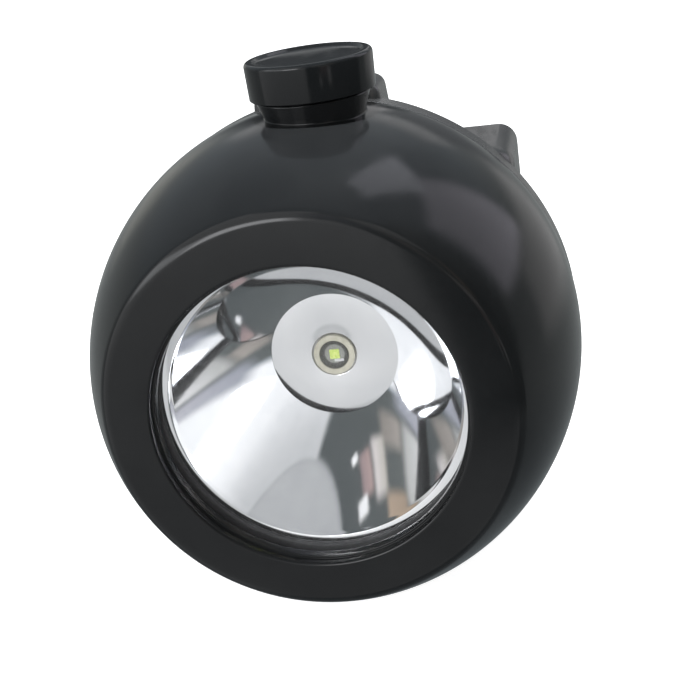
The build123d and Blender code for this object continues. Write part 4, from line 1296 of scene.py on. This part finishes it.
def paint_world():
    """The surroundings that light the lamp and show in its mirror parts, by direction."""
    world = bpy.data.worlds.new("studio")
    graph = Graph(world, "BACKGROUND", "Generated")
    axes = graph.split()
    degrees = 180 / math.pi
    forward = graph.math("MULTIPLY", axes["Y"], -1.0)
    azimuth = graph.math("MULTIPLY", graph.math("ARCTAN2", axes["X"], forward), degrees)
    elevation = graph.math("MULTIPLY", graph.math("ARCSINE", axes["Z"]), degrees)

    def between(source, low, high, soft):
        """1 inside a range of angles, 0 outside, with soft edges."""
        rise = graph.span(source, low - soft, low + soft, smooth=True)
        fall = graph.span(source, high + soft, high - soft, smooth=True)
        return graph.math("MULTIPLY", rise, fall)

    colour = graph.mix(graph.span(elevation, -42.0, -14.0, smooth=True), WORLD_BELOW, WORLD_LOW)
    colour = graph.mix(graph.span(elevation, 8.0, 26.0, smooth=True), colour, WORLD_HIGH)
    for azimuths, elevations, soft, *tones in WORLD_PATCHES:
        tone = graph.mix(graph.span(elevation, *elevations, smooth=True), tones[0], tones[-1])
        beside = between(azimuth, *azimuths, soft)
        upright = between(elevation, *elevations, soft)
        colour = graph.mix(graph.math("MULTIPLY", beside, upright), colour, tone)
    graph.join(colour, graph.shader.inputs["Color"])
    graph.shader.inputs["Strength"].default_value = 1.0
    bpy.context.scene.world = world


paint_world()


# ------------------------------------------------------------------ lights
def hang(light, location, aim):
    """Turns a light towards a point; it does not show in the lamp's mirror parts."""
    holder = bpy.data.objects.new(light.name, light)
    holder.location = location
    holder.rotation_mode = "QUATERNION"
    holder.rotation_quaternion = (aim - holder.location).to_track_quat("-Z", "Y")
    holder.visible_glossy = False
    bpy.context.scene.collection.objects.link(holder)


key = bpy.data.lights.new("key_softbox", "AREA")
key.shape = "RECTANGLE"
key.size, key.size_y = 0.5, 0.5
key.energy = 9.0
hang(key, (0.05, 0.30, 0.80), Vector((0.0, 0.0, 0.0)))

# a narrow light from above on the dome in front of the button, which its cap leaves dark
fill = bpy.data.lights.new("top_fill", "SPOT")
fill.energy = 72.0
fill.spot_size = math.radians(5.2)
fill.spot_blend = 1.0
fill.shadow_soft_size = 0.02
hang(fill, (0.02, -0.13, 0.45), Vector((BUTTON_X + 1.0, y_at(20.5), 36.0)) * MM)

# ------------------------------------------------------------------ camera
# fitted by way of the lamp's circles
TURN = math.radians(11.02)  # round the lamp, away from straight ahead
TILT = math.radians(20.71)  # looking down
ROLL = math.radians(8.26)
DISTANCE = 190.27  # from the middle of the lip, along the line of sight
ASIDE = (-5.82, -9.84)  # how far the middle of the lip lies right of and above that line
SENSOR = 36.0
FOCAL = 71.980457

right = Vector((math.cos(TURN), math.sin(TURN), 0.0))
up = Vector((-math.sin(TURN) * math.sin(TILT), math.cos(TURN) * math.sin(TILT), math.cos(TILT)))
out = Vector((math.sin(TURN) * math.cos(TILT), -math.cos(TURN) * math.cos(TILT), math.sin(TILT)))
camera_x = right * math.cos(ROLL) - up * math.sin(ROLL)
camera_y = right * math.sin(ROLL) + up * math.cos(ROLL)
place = Vector((0.0, LIP_Y, 0.0)) - camera_x * ASIDE[0] - camera_y * ASIDE[1] + out * DISTANCE

camera_data = bpy.data.cameras.new("camera")
camera_data.sensor_width = SENSOR
camera_data.lens = FOCAL
camera_data.clip_start = 0.01
camera_data.clip_end = 50.0
camera = bpy.data.objects.new("camera", camera_data)
bpy.context.scene.collection.objects.link(camera)
turned = Matrix((camera_x, camera_y, out)).transposed().to_4x4()
camera.matrix_world = Matrix.Translation(place * MM) @ turned
bpy.context.scene.camera = camera

bpy.context.scene.view_settings.view_transform = "Standard"
bpy.context.scene.view_settings.look = "None"

# ------------------------------------------------------------------ update
bpy.context.view_layer.update()
